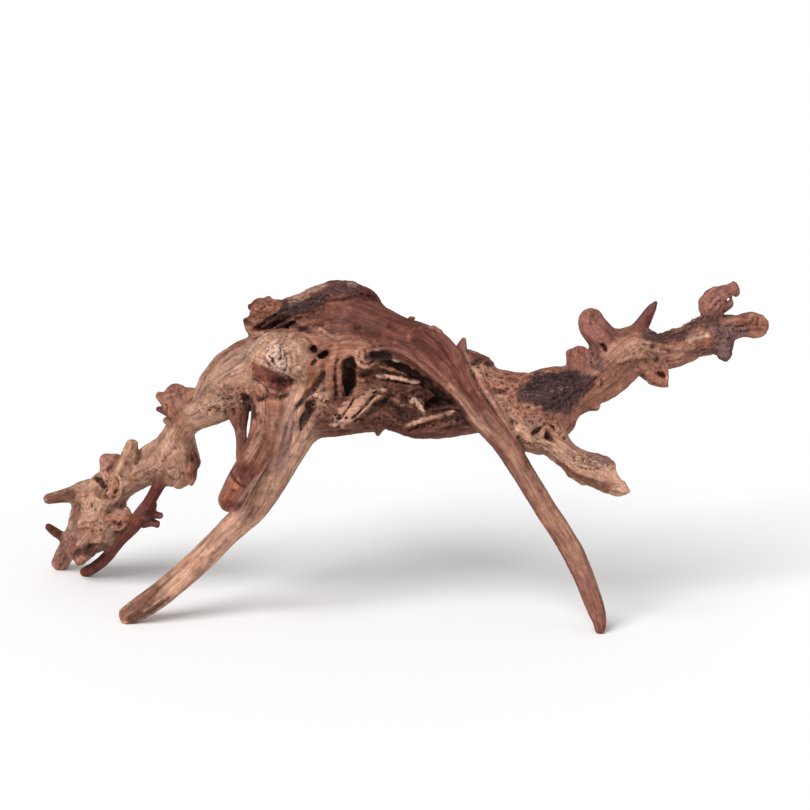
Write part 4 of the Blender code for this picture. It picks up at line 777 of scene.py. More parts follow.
    ("pale", 0.35, [(-171, -10, 4.6), (-180, -20, 6), (-186, -33, 6.6)]),
    ("orange", 0.35, [(-180, -14, 6), (-178, -26, 6)]),
    ("umber", 0.6, [(-190, 10, 1.6), (-184, 16, 1.8), (-177, 14, 1.8)]),
    ("dark_red", 0.7, [(-170, -38, 2.8), (-168, -47, 3.8), (-171, -57, 3.8)]),
    # painted shade in the hollow beside the grey twig
    ("dark", 0.85, [(-128, 8, 2.6), (-124, 1, 4.2), (-121, -8, 3.6)]),
    ("grey", 0.6, [(-168, 5, 1.3), (-161, 11, 1.7), (-156, 16, 1.3)]),
    # Left cluster
    ("pale", 0.6, [(-261, -112, 1.6), (-255, -104, 2.2)]),
    ("umber", 0.85, [(-266, -70, 4), (-275, -73, 5), (-286, -75.4, 5)]),
    ("pale", 0.6, [(-288.4, -75.6, 1.2), (-288, -76.6, 1.2)]),
    ("dark_red", 0.7, [(-228, -38, 2), (-232, -44, 2.4), (-236, -52, 2.6)]),
    ("umber", 0.6, [(-246, -70, 3), (-240, -75, 3)]),
    # painted shade in the cluster's hole
    ("painted_shade", 0.85, [(-248, -58, 1.6), (-244, -61, 2.4), (-240.6, -66, 2)]),
    # painted shade in the crack beside the upright twig
    ("black", 0.8, [(-212.6, -34, 1.8), (-213.4, -40, 2.6), (-215, -46, 1.8)]),
    ("umber", 0.5, [(-242, -74, 3), (-235, -77, 3)]),
    ("umber", 0.55, [(-268, -73, 3), (-262, -80, 3), (-264, -92, 3)]),
    ("umber", 0.5, [(-222, -48, 2), (-228, -40, 2), (-236, -50, 3)]),
    ("umber", 0.55, [(-206, -56, 4), (-196, -56, 5), (-186, -60, 4)]),
    ("orange", 0.5, [(-238, -90, 4), (-230, -95, 4), (-226, -90, 4)]),
    # painted shade in the pit of the cluster's body
    ("dark", 0.6, [(-233, -94, 1.6), (-228, -96, 1.8)]),
    ("orange", 0.35, [(-232, -60, 5), (-234, -70, 6)]),
    ("brown", 0.6, [(-262, -98, 4), (-252, -100, 5), (-244, -104, 5)]),
    ("umber", 0.7, [(-262, -118, 3), (-250, -117, 4)]),
    ("umber", 0.45, [(-261, -80, 3), (-264, -90, 3)]),
    ("rose", 0.8, [(-266, -108, 4.6), (-272, -118, 6), (-276, -127, 6)]),
    # painted shade in the groove under the cluster's body
    ("painted_shade", 0.7, [(-262, -119, 3.6), (-252, -115, 4.4), (-242, -113, 3.6)]),
    ("tan", 0.6, [(-240, -76, 1.3), (-232, -78, 1.7), (-226, -71, 1.7), (-225, -62, 1.7),
        (-229, -56, 1.3)]),
    ("dark_red", 0.9, [(-204, -82, 3), (-199, -88, 4), (-201, -95, 4)]),
    # painted shade between the rootlets
    ("dark", 0.6, [(-206, -86, 2.4), (-201, -92, 2.4)]),
    # Left leg and cut stub
    ("brown", 0.6, [(-104, 3, 8), (-108, -12, 9), (-113, -26, 9), (-120, -40, 8)]),
    ("pale", 0.5, [(-113, -20, 1.2), (-119, -29, 2), (-124, -37, 2), (-127, -42, 1.2)]),
    ("mauve", 0.75, [(-91, -12, 2.6), (-94, -24, 4.2), (-97, -38, 3.8), (-101, -50, 2.8)]),
    ("pale", 0.6, [(-115, -55, 1.2), (-122, -63, 1.6), (-130, -73, 1.6), (-138, -85, 1.2)]),
    ("pale", 0.6, [(-107, -48, 1.2), (-116, -60, 1.6), (-124, -70, 1.2)]),
    ("dark_red", 0.85, [(-125, -49, 5), (-131, -56, 7)]),
    ("orange", 0.7, [(-136, -66, 6.4), (-140, -74, 6.4)]),
    ("dark_red", 0.8, [(-134, -80, 3), (-144, -80, 4)]),
    # painted shade in the crack of the cut stub
    ("black", 0.7, [(-140, -52.6, 0.8), (-137, -59, 1.1), (-131.4, -64, 1), (-128, -65.6, 0.7)]),
    ("umber", 0.8, [(-200, -149, 4.6), (-212, -160, 6.6), (-222, -168, 7)]),
    # painted shade on the underside of the left leg's tip
    ("dark", 0.8, [(-190, -155, 1.8), (-206, -166, 2.8), (-220, -173, 3)]),
]

# Strokes of bark and of drying cracks: kind, strength, points (across, up, half width)
TEXTURES = [
    ("bark", 0.95, CROWN_SHELF),
    ("bark", 0.6, [(-62, 90, 4), (-52, 94, 4.6), (-44, 93, 4.6), (-38, 91, 3)]),
    ("bark", 0.85, CENTRE_PLATE),
    ("bark", 0.8, BRANCH_TOP),
    ("bark", 0.9, FORK_TOP),
    ("bark", 0.6, FORK_FOOT),
    ("bark", 0.6, [(251, 58, 3.6), (260, 60, 4.6), (269, 62, 4.6)]),
    ("bark", 0.8, LEFT_FLAKE),
    ("bark", 0.8, RIGHT_FLAKE),
    ("cracked", 0.9, STUB_END),
    ("cracked", 0.9, [(133, -43, 5), (146, -47, 6), (160, -52, 6)]),
    ("cracked", 0.8, [(97, 8, 5), (112, 12, 11), (130, 14, 11)]),
    ("cracked", 0.8, [(192, 55, 4), (208, 54, 5), (224, 56, 4)]),
    ("cracked", 0.7, [(-103, 47, 3.2), (-102, 36, 7), (-99.5, 29, 3.8)]),
    ("gnarl", 0.8, [(-72, 8, 5), (-64, -3, 7), (-56, -14, 5)]),
    ("gnarl", 0.6, [(-36, 44, 4), (-34, 34, 5)]),
    ("gnarl", 0.7, [(58, 28, 6), (70, 16, 8), (84, 12, 8), (94, 22, 5)]),
    ("gnarl", 0.7, [(84, -2, 5), (98, -12, 7), (114, -14, 6), (128, -24, 4)]),
    ("gnarl", 0.6, [(-122, 74, 7), (-108, 79, 6)]),
    ("gnarl", 0.7, [(-156, -4, 6), (-146, 0, 7), (-134, -1, 6)]),
    ("gnarl", 0.5, [(-150, 12, 6), (-142, 8, 5)]),
    ("gnarl", 0.6, [(-240, -58, 6), (-236, -70, 7)]),
    ("gnarl", 0.5, [(-236, -93, 7), (-226, -96, 5)]),
    ("gnarl", 0.5, [(-30, -15, 5), (-8, -16, 5), (14, -22, 4)]),
    ("gnarl", 0.6, [(140, -46, 6), (156, -48, 6), (164, -58, 5)]),
    ("gnarl", 0.5, [(246, 82, 7), (256, 90, 5)]),
    ("gnarl", 0.5, [(136, 40, 6), (144, 36, 4)]),
    ("gnarl", 0.6, [(154, 38, 5), (156, 26, 4)]),
    ("gnarl", 0.8, [(-32, 22, 6), (-12, 12, 9), (10, 4, 9), (32, -4, 7)]),
    ("gnarl", 0.7, [(-20, -8, 6), (6, -14, 6), (40, -13, 5)]),
    ("gnarl", 0.5, [(-104, 46, 7), (-102, 34, 9)]),
    ("gnarl", 0.6, [(-112, 22, 5), (-98, 18, 5)]),
    ("gnarl", 0.6, [(-134, 10, 6), (-122, 6, 6)]),
    ("gnarl", 0.4, [(184, 32, 6), (198, 26, 8)]),
    ("gnarl", 0.5, [(-188, 8, 6), (-178, 10, 5)]),
    ("gnarl", 0.5, [(-214, -52, 5), (-198, -54, 5)]),
    ("gnarl", 0.4, [(-95, 73, 5), (-75, 74, 6), (-60, 90, 5), (-42, 92, 5)]),
    ("bark", 0.6, PLATE_TOP),
    ("bark", 0.6, PLATE_FOOT),
    ("bark", 0.6, FORK_END),
    ("gnarl", 0.5, FORK_CROOK),
    ("gnarl", 0.5, [(-262, -80, 5), (-250, -84, 7), (-246, -98, 6)]),
    ("gnarl", 0.4, [(-268, -108, 5), (-276, -122, 6)]),
    ("gnarl", 0.5, [(-190, -40, 5), (-184, -56, 6)]),
    ("gnarl", 0.35, [(166, 30, 7), (184, 44, 8), (206, 46, 6), (226, 48, 5)]),
    ("gnarl", 0.3, [(148, 72, 7), (154, 62, 8)]),
    ("gnarl", 0.4, [(270, 66, 5), (282, 66, 6)]),
    ("gnarl", 0.3, [(-60, 40, 5), (-62, 24, 5)]),
]

def seen_to_world(places):
    """World places of what the eye sees across, up and toward: turned back by the lean."""
    across, up, toward = np.moveaxis(np.asarray(places, float), -1, 0)
    spread = (EYE_DISTANCE - toward) / EYE_DISTANCE
    raised = up * spread
    return np.stack([
        across * spread - MIDDLE[0],
        raised * math.sin(LEAN) - toward * math.cos(LEAN) - MIDDLE[1],
        raised * math.cos(LEAN) + toward * math.sin(LEAN) + FLOOR_BELOW_AXIS,
    ], axis=-1)


def world_to_seen(places):
    """Across, up and toward of world places, the reverse of seen_to_world."""
    x, y, z = np.moveaxis(np.asarray(places, float), -1, 0)
    y = y + MIDDLE[1]
    z = z - FLOOR_BELOW_AXIS
    toward = z * math.sin(LEAN) - y * math.cos(LEAN)
    spread = (EYE_DISTANCE - toward) / EYE_DISTANCE
    raised = y * math.sin(LEAN) + z * math.cos(LEAN)
    return np.stack([(x + MIDDLE[0]) / spread, raised / spread, toward], axis=-1)


def smooth_line(points, step):
    """A smooth curve of cubic spans through the points, sampled about every step along each."""
    points = np.asarray(points, float)
    padded = np.concatenate([points[:1], points, points[-1:]])
    samples = []
    for index in range(len(points) - 1):
        a, b, c, d = padded[index:index + 4]
        count = max(1, round(float(np.linalg.norm(c[:3] - b[:3])) / step))
        t = (np.arange(count) / count)[:, None]
        bend = (2 * a - 5 * b + 4 * c - d) * t**2
        samples.append(0.5 * (2 * b + (c - a) * t + bend + (3 * b - a - 3 * c + d) * t**3))
    return np.concatenate(samples + [points[-1:]])


def world_line(line):
    """World places and radii of samples (across, up, toward, radius)."""
    spread = (EYE_DISTANCE - line[:, 2]) / EYE_DISTANCE
    return np.column_stack([seen_to_world(line[:, :3]), line[:, 3] * spread])


def eased(value, low, high):
    """0 below low, 1 above high and a smooth step between."""
    t = np.clip((value - low) / (high - low), 0.0, 1.0)
    return t * t * (3 - 2 * t)


class Noise:
    """Smooth noise made of slopes on a grid: about -1 to 1, with bumps about one unit wide."""

    def __init__(self, seed):
        draw = np.random.default_rng(seed)
        self.order = np.tile(draw.permutation(256), 2)
        slopes = draw.normal(size=(256, 3))
        self.slopes = slopes / np.linalg.norm(slopes, axis=1, keepdims=True)

    def __call__(self, places):
        """Each corner of the unit cell round a place gives its slope, eased towards the others."""
        floor = np.floor(places)
        part = places - floor
        cell = floor.astype(int) & 255
        ease = part**3 * (part * (part * 6 - 15) + 10)
        total = np.zeros(len(places))
        for corner in np.ndindex(2, 2, 2):
            i, j, k = ((cell + corner) & 255).T
            slope = self.slopes[self.order[self.order[self.order[i] + j] + k]]
            share = np.prod(np.where(corner, ease, 1 - ease), axis=1)
            total += share * np.einsum("ij,ij->i", slope, part - corner)
        return NOISE_GAIN * total

    def layers(self, places, count):
        """The noise with finer layers on it, each at twice the detail and half the size."""
        return sum(self(places * 2**k + LAYER_SHIFT * k) * 0.5**k for k in range(count))


STRANDS = Noise(3)
LUMPS = Noise(5)
CRUMBLE = Noise(6)
RAGGED = Noise(7)


class Limb:
    """A path with a radius, in world millimetres, and the frame that rides along it.

    A limb with an opening is also swept that far towards the eye.
    """

    def __init__(self, line, section="plain", twist=0.0, roundness=1.0, fillet=0.0, opening=0.0):
        self.opening = opening
        self.places = line[:, :3]
        self.radii = line[:, 3]
        self.waves = SECTIONS[section]
        self.section = section
        self.roundness = roundness
        self.fillet = fillet
        steps = np.diff(self.places, axis=0)
        self.spans = np.maximum(np.linalg.norm(steps, axis=1), 1e-6)
        self.ways = steps / self.spans[:, None]
        self.lengths = np.concatenate([[0.0], np.cumsum(self.spans)])
        self.twist = math.radians(twist) / self.lengths[-1]
        self.sides = self.carried_sides()

    def carried_sides(self):
        """A direction square to the path at each span, carried along it without spinning."""
        side = np.cross(self.ways[0], (0.0, 0.0, 1.0))
        if np.linalg.norm(side) < 0.1:
            side = np.cross(self.ways[0], (0.0, 1.0, 0.0))
        sides = []
        for way in self.ways:
            side = side - way * side.dot(way)
            side /= np.linalg.norm(side)
            sides.append(side)
        return np.array(sides)

    def runs(self):
        """First and last sample of each stretch of the path that is measured together."""
        spans = len(self.spans)
        return [(first, min(first + RUN, spans)) for first in range(0, spans, RUN)]

    def corners(self, first, last, margin):
        """Lowest and highest corner of the samples first to last, grown by their girth."""
        places = self.places[first:last + 1]
        reach = GIRTH_SPARE * self.radii[first:last + 1].max() + margin
        swept = np.concatenate([places, places + self.opening * TOWARD])
        return swept.min(0) - reach, swept.max(0) + reach

    def measure(self, x, y, z, first, last):
        """Distance outside the limb's surface, and the place along, beside and above its path.

        The nearest span is the one whose cone is nearest. The surface lies a radius away from
        the path, times 1 plus waves round it: sum of size * cos(count * angle + turn). The tip
        is half an ellipsoid, as long as the radius times the roundness.
        """
        best = None
        for index in range(first, last):
            start = self.places[index]
            way = self.ways[index]
            side = self.sides[index]
            over = np.cross(way, side)
            dx, dy, dz = x - start[0], y - start[1], z - start[2]
            if self.opening > 0:
                ahead = np.clip(dy * TOWARD[1] + dz * TOWARD[2], 0.0, self.opening)
                dy, dz = dy - ahead * TOWARD[1], dz - ahead * TOWARD[2]
            along = dx * way[0] + dy * way[1] + dz * way[2]
            held = np.clip(along, 0.0, self.spans[index])
            radius = self.radii[index] + held * (
                (self.radii[index + 1] - self.radii[index]) / self.spans[index])
            beside = dx * side[0] + dy * side[1] + dz * side[2]
            above = dx * over[0] + dy * over[1] + dz * over[2]
            beyond = along - held
            if index == len(self.spans) - 1:
                beyond = np.where(beyond > 0, beyond / self.roundness, beyond)
            away = np.sqrt(beside**2 + above**2 + beyond**2)
            gap = away - radius
            if index == 0:
                gap = np.maximum(gap, -along)
            fresh = (gap, held + self.lengths[index], beside, above, radius, away)
            if best is None:
                best = fresh
            else:
                nearer = gap < best[0]
                best = tuple(np.where(nearer, new, old) for new, old in zip(fresh, best))
        gap, along, beside, above, radius, away = best
        angle = np.arctan2(above, beside) + self.twist * along
        swell = sum(size * np.cos(count * angle + turn) for count, (size, turn) in self.waves.items())
        swell = swell * np.sqrt(beside**2 + above**2) / np.maximum(away, 1e-3)
        return gap - radius * swell, along, beside, above


def smooth_least(a, b, fillet):
    """The lesser of two fields, with a fillet where they meet."""
    if fillet <= 0:
        return np.minimum(a, b)
    meet = np.maximum(fillet - np.abs(a - b), 0.0)
    return np.minimum(a, b) - meet**2 / (4 * fillet)


class WoodField:
    """Distance outside the wood, in millimetres, on a grid of cells; negative inside."""

    def __init__(self, low, high, cell):
        self.low = np.asarray(low, float)
        self.cell = cell
        self.shape = np.ceil((np.asarray(high) - self.low) / cell).astype(int) + 1
        self.values = np.full(self.shape, FAR, np.float32)

    def block(self, low, high):
        """The grid's slices between two corners, and the places of its points as open axes."""
        first = np.clip(np.floor((low - self.low) / self.cell).astype(int), 0, self.shape - 1)
        last = np.clip(np.ceil((high - self.low) / self.cell).astype(int) + 1, first + 1, self.shape)
        slices = tuple(slice(a, b) for a, b in zip(first, last))
        axes = [
            (self.low[k] + self.cell * np.arange(first[k], last[k])).astype(np.float32)
            for k in range(3)
        ]
        return slices, np.ix_(*axes)

    def limb_values(self, limb, band):
        """The limb's own field over its box: the least of its runs."""
        home, _ = self.block(*limb.corners(0, len(limb.spans), band))
        values = np.full(self.values[home].shape, FAR, np.float32)
        for first, last in limb.runs():
            part, axes = self.block(*limb.corners(first, last, band))
            own = tuple(slice(p.start - h.start, p.stop - h.start) for p, h in zip(part, home))
            gap = limb.measure(*axes, first, last)[0]
            values[own] = np.minimum(values[own], gap)
        return home, values

    def join(self, limb, band):
        """The wood with the limb grown on: the lesser of the two fields."""
        home, values = self.limb_values(limb, band)
        self.values[home] = smooth_least(self.values[home], values, limb.fillet)

    def cut(self, limb, band):
        """The wood with the limb taken out: joined from the other side of the surface."""
        home, values = self.limb_values(limb, band)
        self.values[home] = -smooth_least(-self.values[home], values, limb.fillet)

    def level_floor(self):
        """Cuts the field off level at the floor."""
        heights = self.low[2] + self.cell * np.arange(self.shape[2])
        self.values = np.maximum(self.values, -heights.astype(np.float32))

    def close_ties(self):
        """Fills grid squares with corners in, out, in and out, where the surface would touch itself."""
        for _ in range(TIE_PASSES):
            inside = self.values < 0
            for axis in range(3):
                a, b = np.eye(3, dtype=int)[[k for k in range(3) if k != axis]]
                corners = [0 * a, a, a + b, b]
                last = self.shape - a - b
                first, second, third, fourth = (
                    inside[tuple(slice(o, o + n) for o, n in zip(corner, last))] for corner in corners)
                ties = np.argwhere((first == third) & (second == fourth) & (first != second))
                for corner in corners:
                    spot = tuple((ties + corner).T)
                    self.values[spot] = np.where(self.values[spot] < 0, self.values[spot], TIE_FILL)

    def surface(self):
        """Points and four-sided faces of the surface where the field is nought.

        One point stands in each cell that the surface crosses, at the mean of the crossings on
        the cell's edges. One face spans the four cells round each grid edge that it crosses.
        """
        inside = self.values < 0
        count = np.zeros(self.shape - 1, np.uint8)
        for corner in np.ndindex(2, 2, 2):
            count += inside[tuple(slice(o, n - 1 + o) for o, n in zip(corner, self.shape))]
        cells = np.argwhere((count > 0) & (count < 8))
        number = np.full(self.shape - 1, -1, np.int32)
        number[tuple(cells.T)] = np.arange(len(cells))
        total = np.zeros((len(cells), 3))
        hits = np.zeros((len(cells), 1))
        faces = []
        for axis in range(3):
            step = np.eye(3, dtype=int)[axis]
            back_a, back_b = np.eye(3, dtype=int)[[k for k in range(3) if k != axis]]
            for i, j in np.ndindex(2, 2):
                corner = i * back_a + j * back_b
                near = self.values[tuple((cells + corner).T)].astype(float)
                far = self.values[tuple((cells + corner + step).T)].astype(float)
                crossed = (near < 0) != (far < 0)
                share = near / np.where(crossed, near - far, 1.0)
                total += np.where(crossed[:, None], corner + share[:, None] * step, 0.0)
                hits += crossed[:, None]
            near = np.take(inside, range(self.shape[axis] - 1), axis)
            far = np.take(inside, range(1, self.shape[axis]), axis)
            edges = np.argwhere(near != far)
            edges = edges[(edges @ back_a > 0) & (edges @ back_b > 0)]
            ring = [edges, edges - back_a, edges - back_a - back_b, edges - back_b]
            quads = np.column_stack([number[tuple(cell.T)] for cell in ring])
            leaves = near[tuple(edges.T)] == (axis != 1)
            faces.append(np.where(leaves[:, None], quads, quads[:, ::-1]))
        return self.low + self.cell * (cells + total / hits), np.concatenate(faces)


def point_sums(corners, values, count):
    """The sum of the values (three to a row) that fall on each of count points."""
    return np.column_stack([np.bincount(corners, values[:, k], count) for k in range(3)])


def side_ends(faces):
    """The two ends of every side of every face; a closed surface runs each side both ways."""
    sides = faces.shape[1]
    return np.concatenate([faces[:, [k, (k + 1) % sides]] for k in range(sides)])


def normals_of(points, faces):
    """The mean direction out of the surface at each point: its faces' normals, summed."""
    first, second, third, fourth = points[faces].swapaxes(0, 1)
    across = np.cross(third - first, fourth - second)
    normals = point_sums(faces.ravel(), np.repeat(across, 4, axis=0), len(points))
    return normals / np.maximum(np.linalg.norm(normals, axis=1, keepdims=True), 1e-9)


def relaxed(points, faces, passes, factor):
    """The points moved towards the mean of their neighbours, which takes the steps out."""
    ends = side_ends(faces)
    share = np.bincount(ends[:, 0], minlength=len(points))[:, None]
    for _ in range(passes):
        sums = point_sums(ends[:, 0], points[ends[:, 1]], len(points))
        points = points + factor * (sums / share - points)
    return points


def hollowness(points, faces, normals, passes):
    """How far each point lies below its wider surroundings, in millimetres; negative on ridges."""
    even = relaxed(points, faces, passes, EVENING_SHARE)
    return np.einsum("ij,ij->i", even - points, normals)


def largest_part(points, faces):
    """The largest connected part, without the crumbs that the cuts leave.

    Each point takes the lowest number among its neighbours until nothing changes, so that all
    points of a part end with the same number.
    """
    ends = side_ends(faces)
    label = np.arange(len(points))
    settled = False
    while not settled:
        lower = label.copy()
        np.minimum.at(lower, ends[:, 0], label[ends[:, 1]])
        lower = lower[lower]
        settled = np.array_equal(lower, label)
        label = lower
    kept = label == np.bincount(label).argmax()
    number = np.cumsum(kept) - 1
    return points[kept], number[faces[kept[faces[:, 0]]]]


class FrontView:
    """How near the eye the foremost wood lies, over across and up, on a map of small squares."""

    def __init__(self, points, square):
        seen = world_to_seen(points)
        self.square = square
        self.low = seen[:, :2].min(0) - 2 * square
        shape = np.ceil((seen[:, :2].max(0) - self.low) / square).astype(int) + 3
        self.nearest = np.full(shape, -np.inf)
        column, row = np.round((seen[:, :2] - self.low) / square).astype(int).T
        np.maximum.at(self.nearest, (column, row), seen[:, 2])
        self.fill()

    @staticmethod
    def shifted(values):
        """The map moved by a square each way, and not at all: each square's nine neighbours."""
        return np.stack([np.roll(values, (i, j), (0, 1)) for i in (-1, 0, 1) for j in (-1, 0, 1)])

    def fill(self):
        """Squares with no wood take their neighbours' mean, ring by ring; then all are evened."""
        values = self.nearest
        for _ in range(VIEW_RINGS):
            empty = np.isinf(values)
            ring = self.shifted(values)
            known = ~np.isinf(ring)
            mean = np.where(known, ring, 0.0).sum(0) / np.maximum(known.sum(0), 1)
            values = np.where(empty & known.any(0), mean, values)
        values = np.where(np.isinf(values), 0.0, values)
        self.nearest = self.shifted(values).mean(axis=0)

    def toward(self, across, up):
        """The map read between its squares."""
        place = (np.column_stack([across, up]) - self.low) / self.square
        place = np.clip(place, 0, np.array(self.nearest.shape) - 1.001)
        cell = place.astype(int)
        i, j = cell.T
        a, b = (place - cell).T
        m = self.nearest
        return ((1 - a) * (1 - b) * m[i, j] + a * (1 - b) * m[i + 1, j]
                + (1 - a) * b * m[i, j + 1] + a * b * m[i + 1, j + 1])


def limb_shapes():
    """The limbs of LIMBS, in world millimetres."""
    shapes = {}
    for name, (section, twist, roundness, fillet, points) in LIMBS.items():
        line = world_line(smooth_line(points, STEP))
        shapes[name] = Limb(line, section, twist, roundness, fillet)
    return shapes


def grown_field(limbs):
    """The field of all limbs grown together."""
    margin = GRID_MARGIN * CELL
    field = WoodField(BOX_LOW - margin, BOX_HIGH + margin, CELL)
    for limb in limbs.values():
        field.join(limb, LIMB_BAND)
    return field


def form_shape(view, fillet, points):
    """A form's limb. Its front stands the lift above the wood that the eye sees, or below it."""
    across, up, radius, lift = smooth_line(points, FORM_STEP).T
    places = np.column_stack([across, up, radius]) / FORM_RAGGED_SIZE
    radius = radius * (1 + FORM_RAGGED * RAGGED.layers(places, 2))
    surface = view.toward(across, up)
    raised = lift.max() > 0
    if raised:
        depth = surface + lift - radius
        opening = 0.0
    else:
        depth = surface + np.minimum(radius + lift, radius * PIT_RISE)
        opening = PIT_OPENING - lift.min()
    line = world_line(np.column_stack([across, up, depth, radius]))
    return Limb(line, fillet=fillet, opening=opening), raised


def add_forms(field, forms):
    """Joins the ridges and cuts the grooves and pits, following the wood that the eye sees."""
    view = FrontView(field.surface()[0], VIEW_SQUARE)
    for fillet, *paths in forms.values():
        for points in paths:
            limb, raised = form_shape(view, fillet, points)
            if raised:
                field.join(limb, FORM_BAND)
            else:
                field.cut(limb, FORM_BAND)


def limb_places(limb, points, margin):
    """Which points lie near the limb, how far outside it, and their places in straightened wood.

    Straightened, the limb runs along the third axis and its spiral grain is untwisted.
    """
    gap = np.full(len(points), FAR)
    straight = np.zeros((len(points), 3))
    for first, last in limb.runs():
        low, high = limb.corners(first, last, margin)
        near = np.flatnonzero(np.all((points >= low) & (points <= high), axis=1))
        if len(near) == 0:
            continue
        fresh, along, beside, above = limb.measure(*points[near].T, first, last)
        nearer = fresh < gap[near]
        near = near[nearer]
        along, beside, above = along[nearer], beside[nearer], above[nearer]
        gap[near] = fresh[nearer]
        turn = limb.twist * along
        straight[near] = np.column_stack([
            beside * np.cos(turn) - above * np.sin(turn),
            beside * np.sin(turn) + above * np.cos(turn),
            along])
    chosen = np.flatnonzero(gap < margin)
    return chosen, gap[chosen], straight[chosen]


def limb_share(gap):
    """How much of a place belongs to a limb, from how far outside the limb it lies."""
    return np.exp(-np.maximum(gap, 0.0) / SHARE_REACH)


def stroke_cover(points, across, up, ragged):
    """How much a stroke through points (across, up, half width) covers each place, 0 to 1."""
    line = smooth_line([(a, b, 0.0, w) for a, b, w in points], STROKE_STEP)[:, [0, 1, 3]]
    reach = line[:, 2].max() + STROKE_REACH
    near = np.flatnonzero(
        (across > line[:, 0].min() - reach) & (across < line[:, 0].max() + reach)
        & (up > line[:, 1].min() - reach) & (up < line[:, 1].max() + reach))
    cover = np.zeros(len(across))
    if len(near) == 0:
        return cover
    gap = np.full(len(near), FAR)
    for (a0, b0, w0), (a1, b1, w1) in zip(line[:-1], line[1:]):
        da, db = a1 - a0, b1 - b0
        t = ((across[near] - a0) * da + (up[near] - b0) * db) / max(da * da + db * db, 1e-6)
        t = np.clip(t, 0.0, 1.0)
        away = np.hypot(across[near] - a0 - t * da, up[near] - b0 - t * db)
        gap = np.minimum(gap, away - (w0 + t * (w1 - w0)))
    width = np.clip(line[:, 2].mean(), *STROKE_WIDTHS)
    gap = gap + ragged[near] * (STROKE_RAGGED[0] + STROKE_RAGGED[1] * width)
    soft = STROKE_SOFT[0] + STROKE_SOFT[1] * width
    cover[near] = eased(-gap, -soft, soft)
    return cover


class SeenFront:
    """Which points the eye sees, and how much a stroke laid on the picture covers each of them."""

    def __init__(self, points, normals):
        self.across, self.up, toward = world_to_seen(points).T
        behind = toward - FrontView(points, VIEW_SQUARE).toward(self.across, self.up)
        self.share = eased(behind, *SEEN_DEPTH) * eased(normals @ TOWARD, *SEEN_TURN)
        self.ragged = RAGGED.layers(points / STROKE_RAGGED_SIZE, 3)

    def cover(self, stroke):
        """The stroke's cover where the eye sees the point, and none where it doesn't."""
        return self.share * stroke_cover(stroke, self.across, self.up, self.ragged)


def weathered(points, normals, limbs):
    """The points raised along their normals: strands, lumps, bark and gnarled stretches."""
    height = np.zeros(len(points))
    total = np.full(len(points), 1e-6)
    lumps = LUMPS.layers(points / LUMP_SIZE, 3)
    for limb in limbs.values():
        chosen, gap, straight = limb_places(limb, points, SHARE_MARGIN)
        share = limb_share(gap)
        strand_height, lump_height = RELIEF[limb.section]
        strands = 0.5 - np.abs(STRANDS.layers(straight / STRAND_SIZE, 3))
        own = strand_height * strands + lump_height * lumps[chosen]
        height[chosen] += share * own
        total[chosen] += share
    height /= total
    crumble = CRUMBLE.layers(points / CRUMBLE_SIZE, 3)
    front = SeenFront(points, normals)
    for kind, strength, stroke in TEXTURES:
        rise, swing = TEXTURE_RELIEF[kind]
        height += strength * front.cover(stroke) * (rise + swing * (0.5 - np.abs(crumble)))
    return points + normals * height[:, None]


def linear(colour):
    """A colour as a screen shows it, 0 to 255, as light."""
    value = np.asarray(colour, float) / 255.0
    return np.where(value <= 0.04045, value / 12.92, ((value + 0.055) / 1.055) ** 2.4)


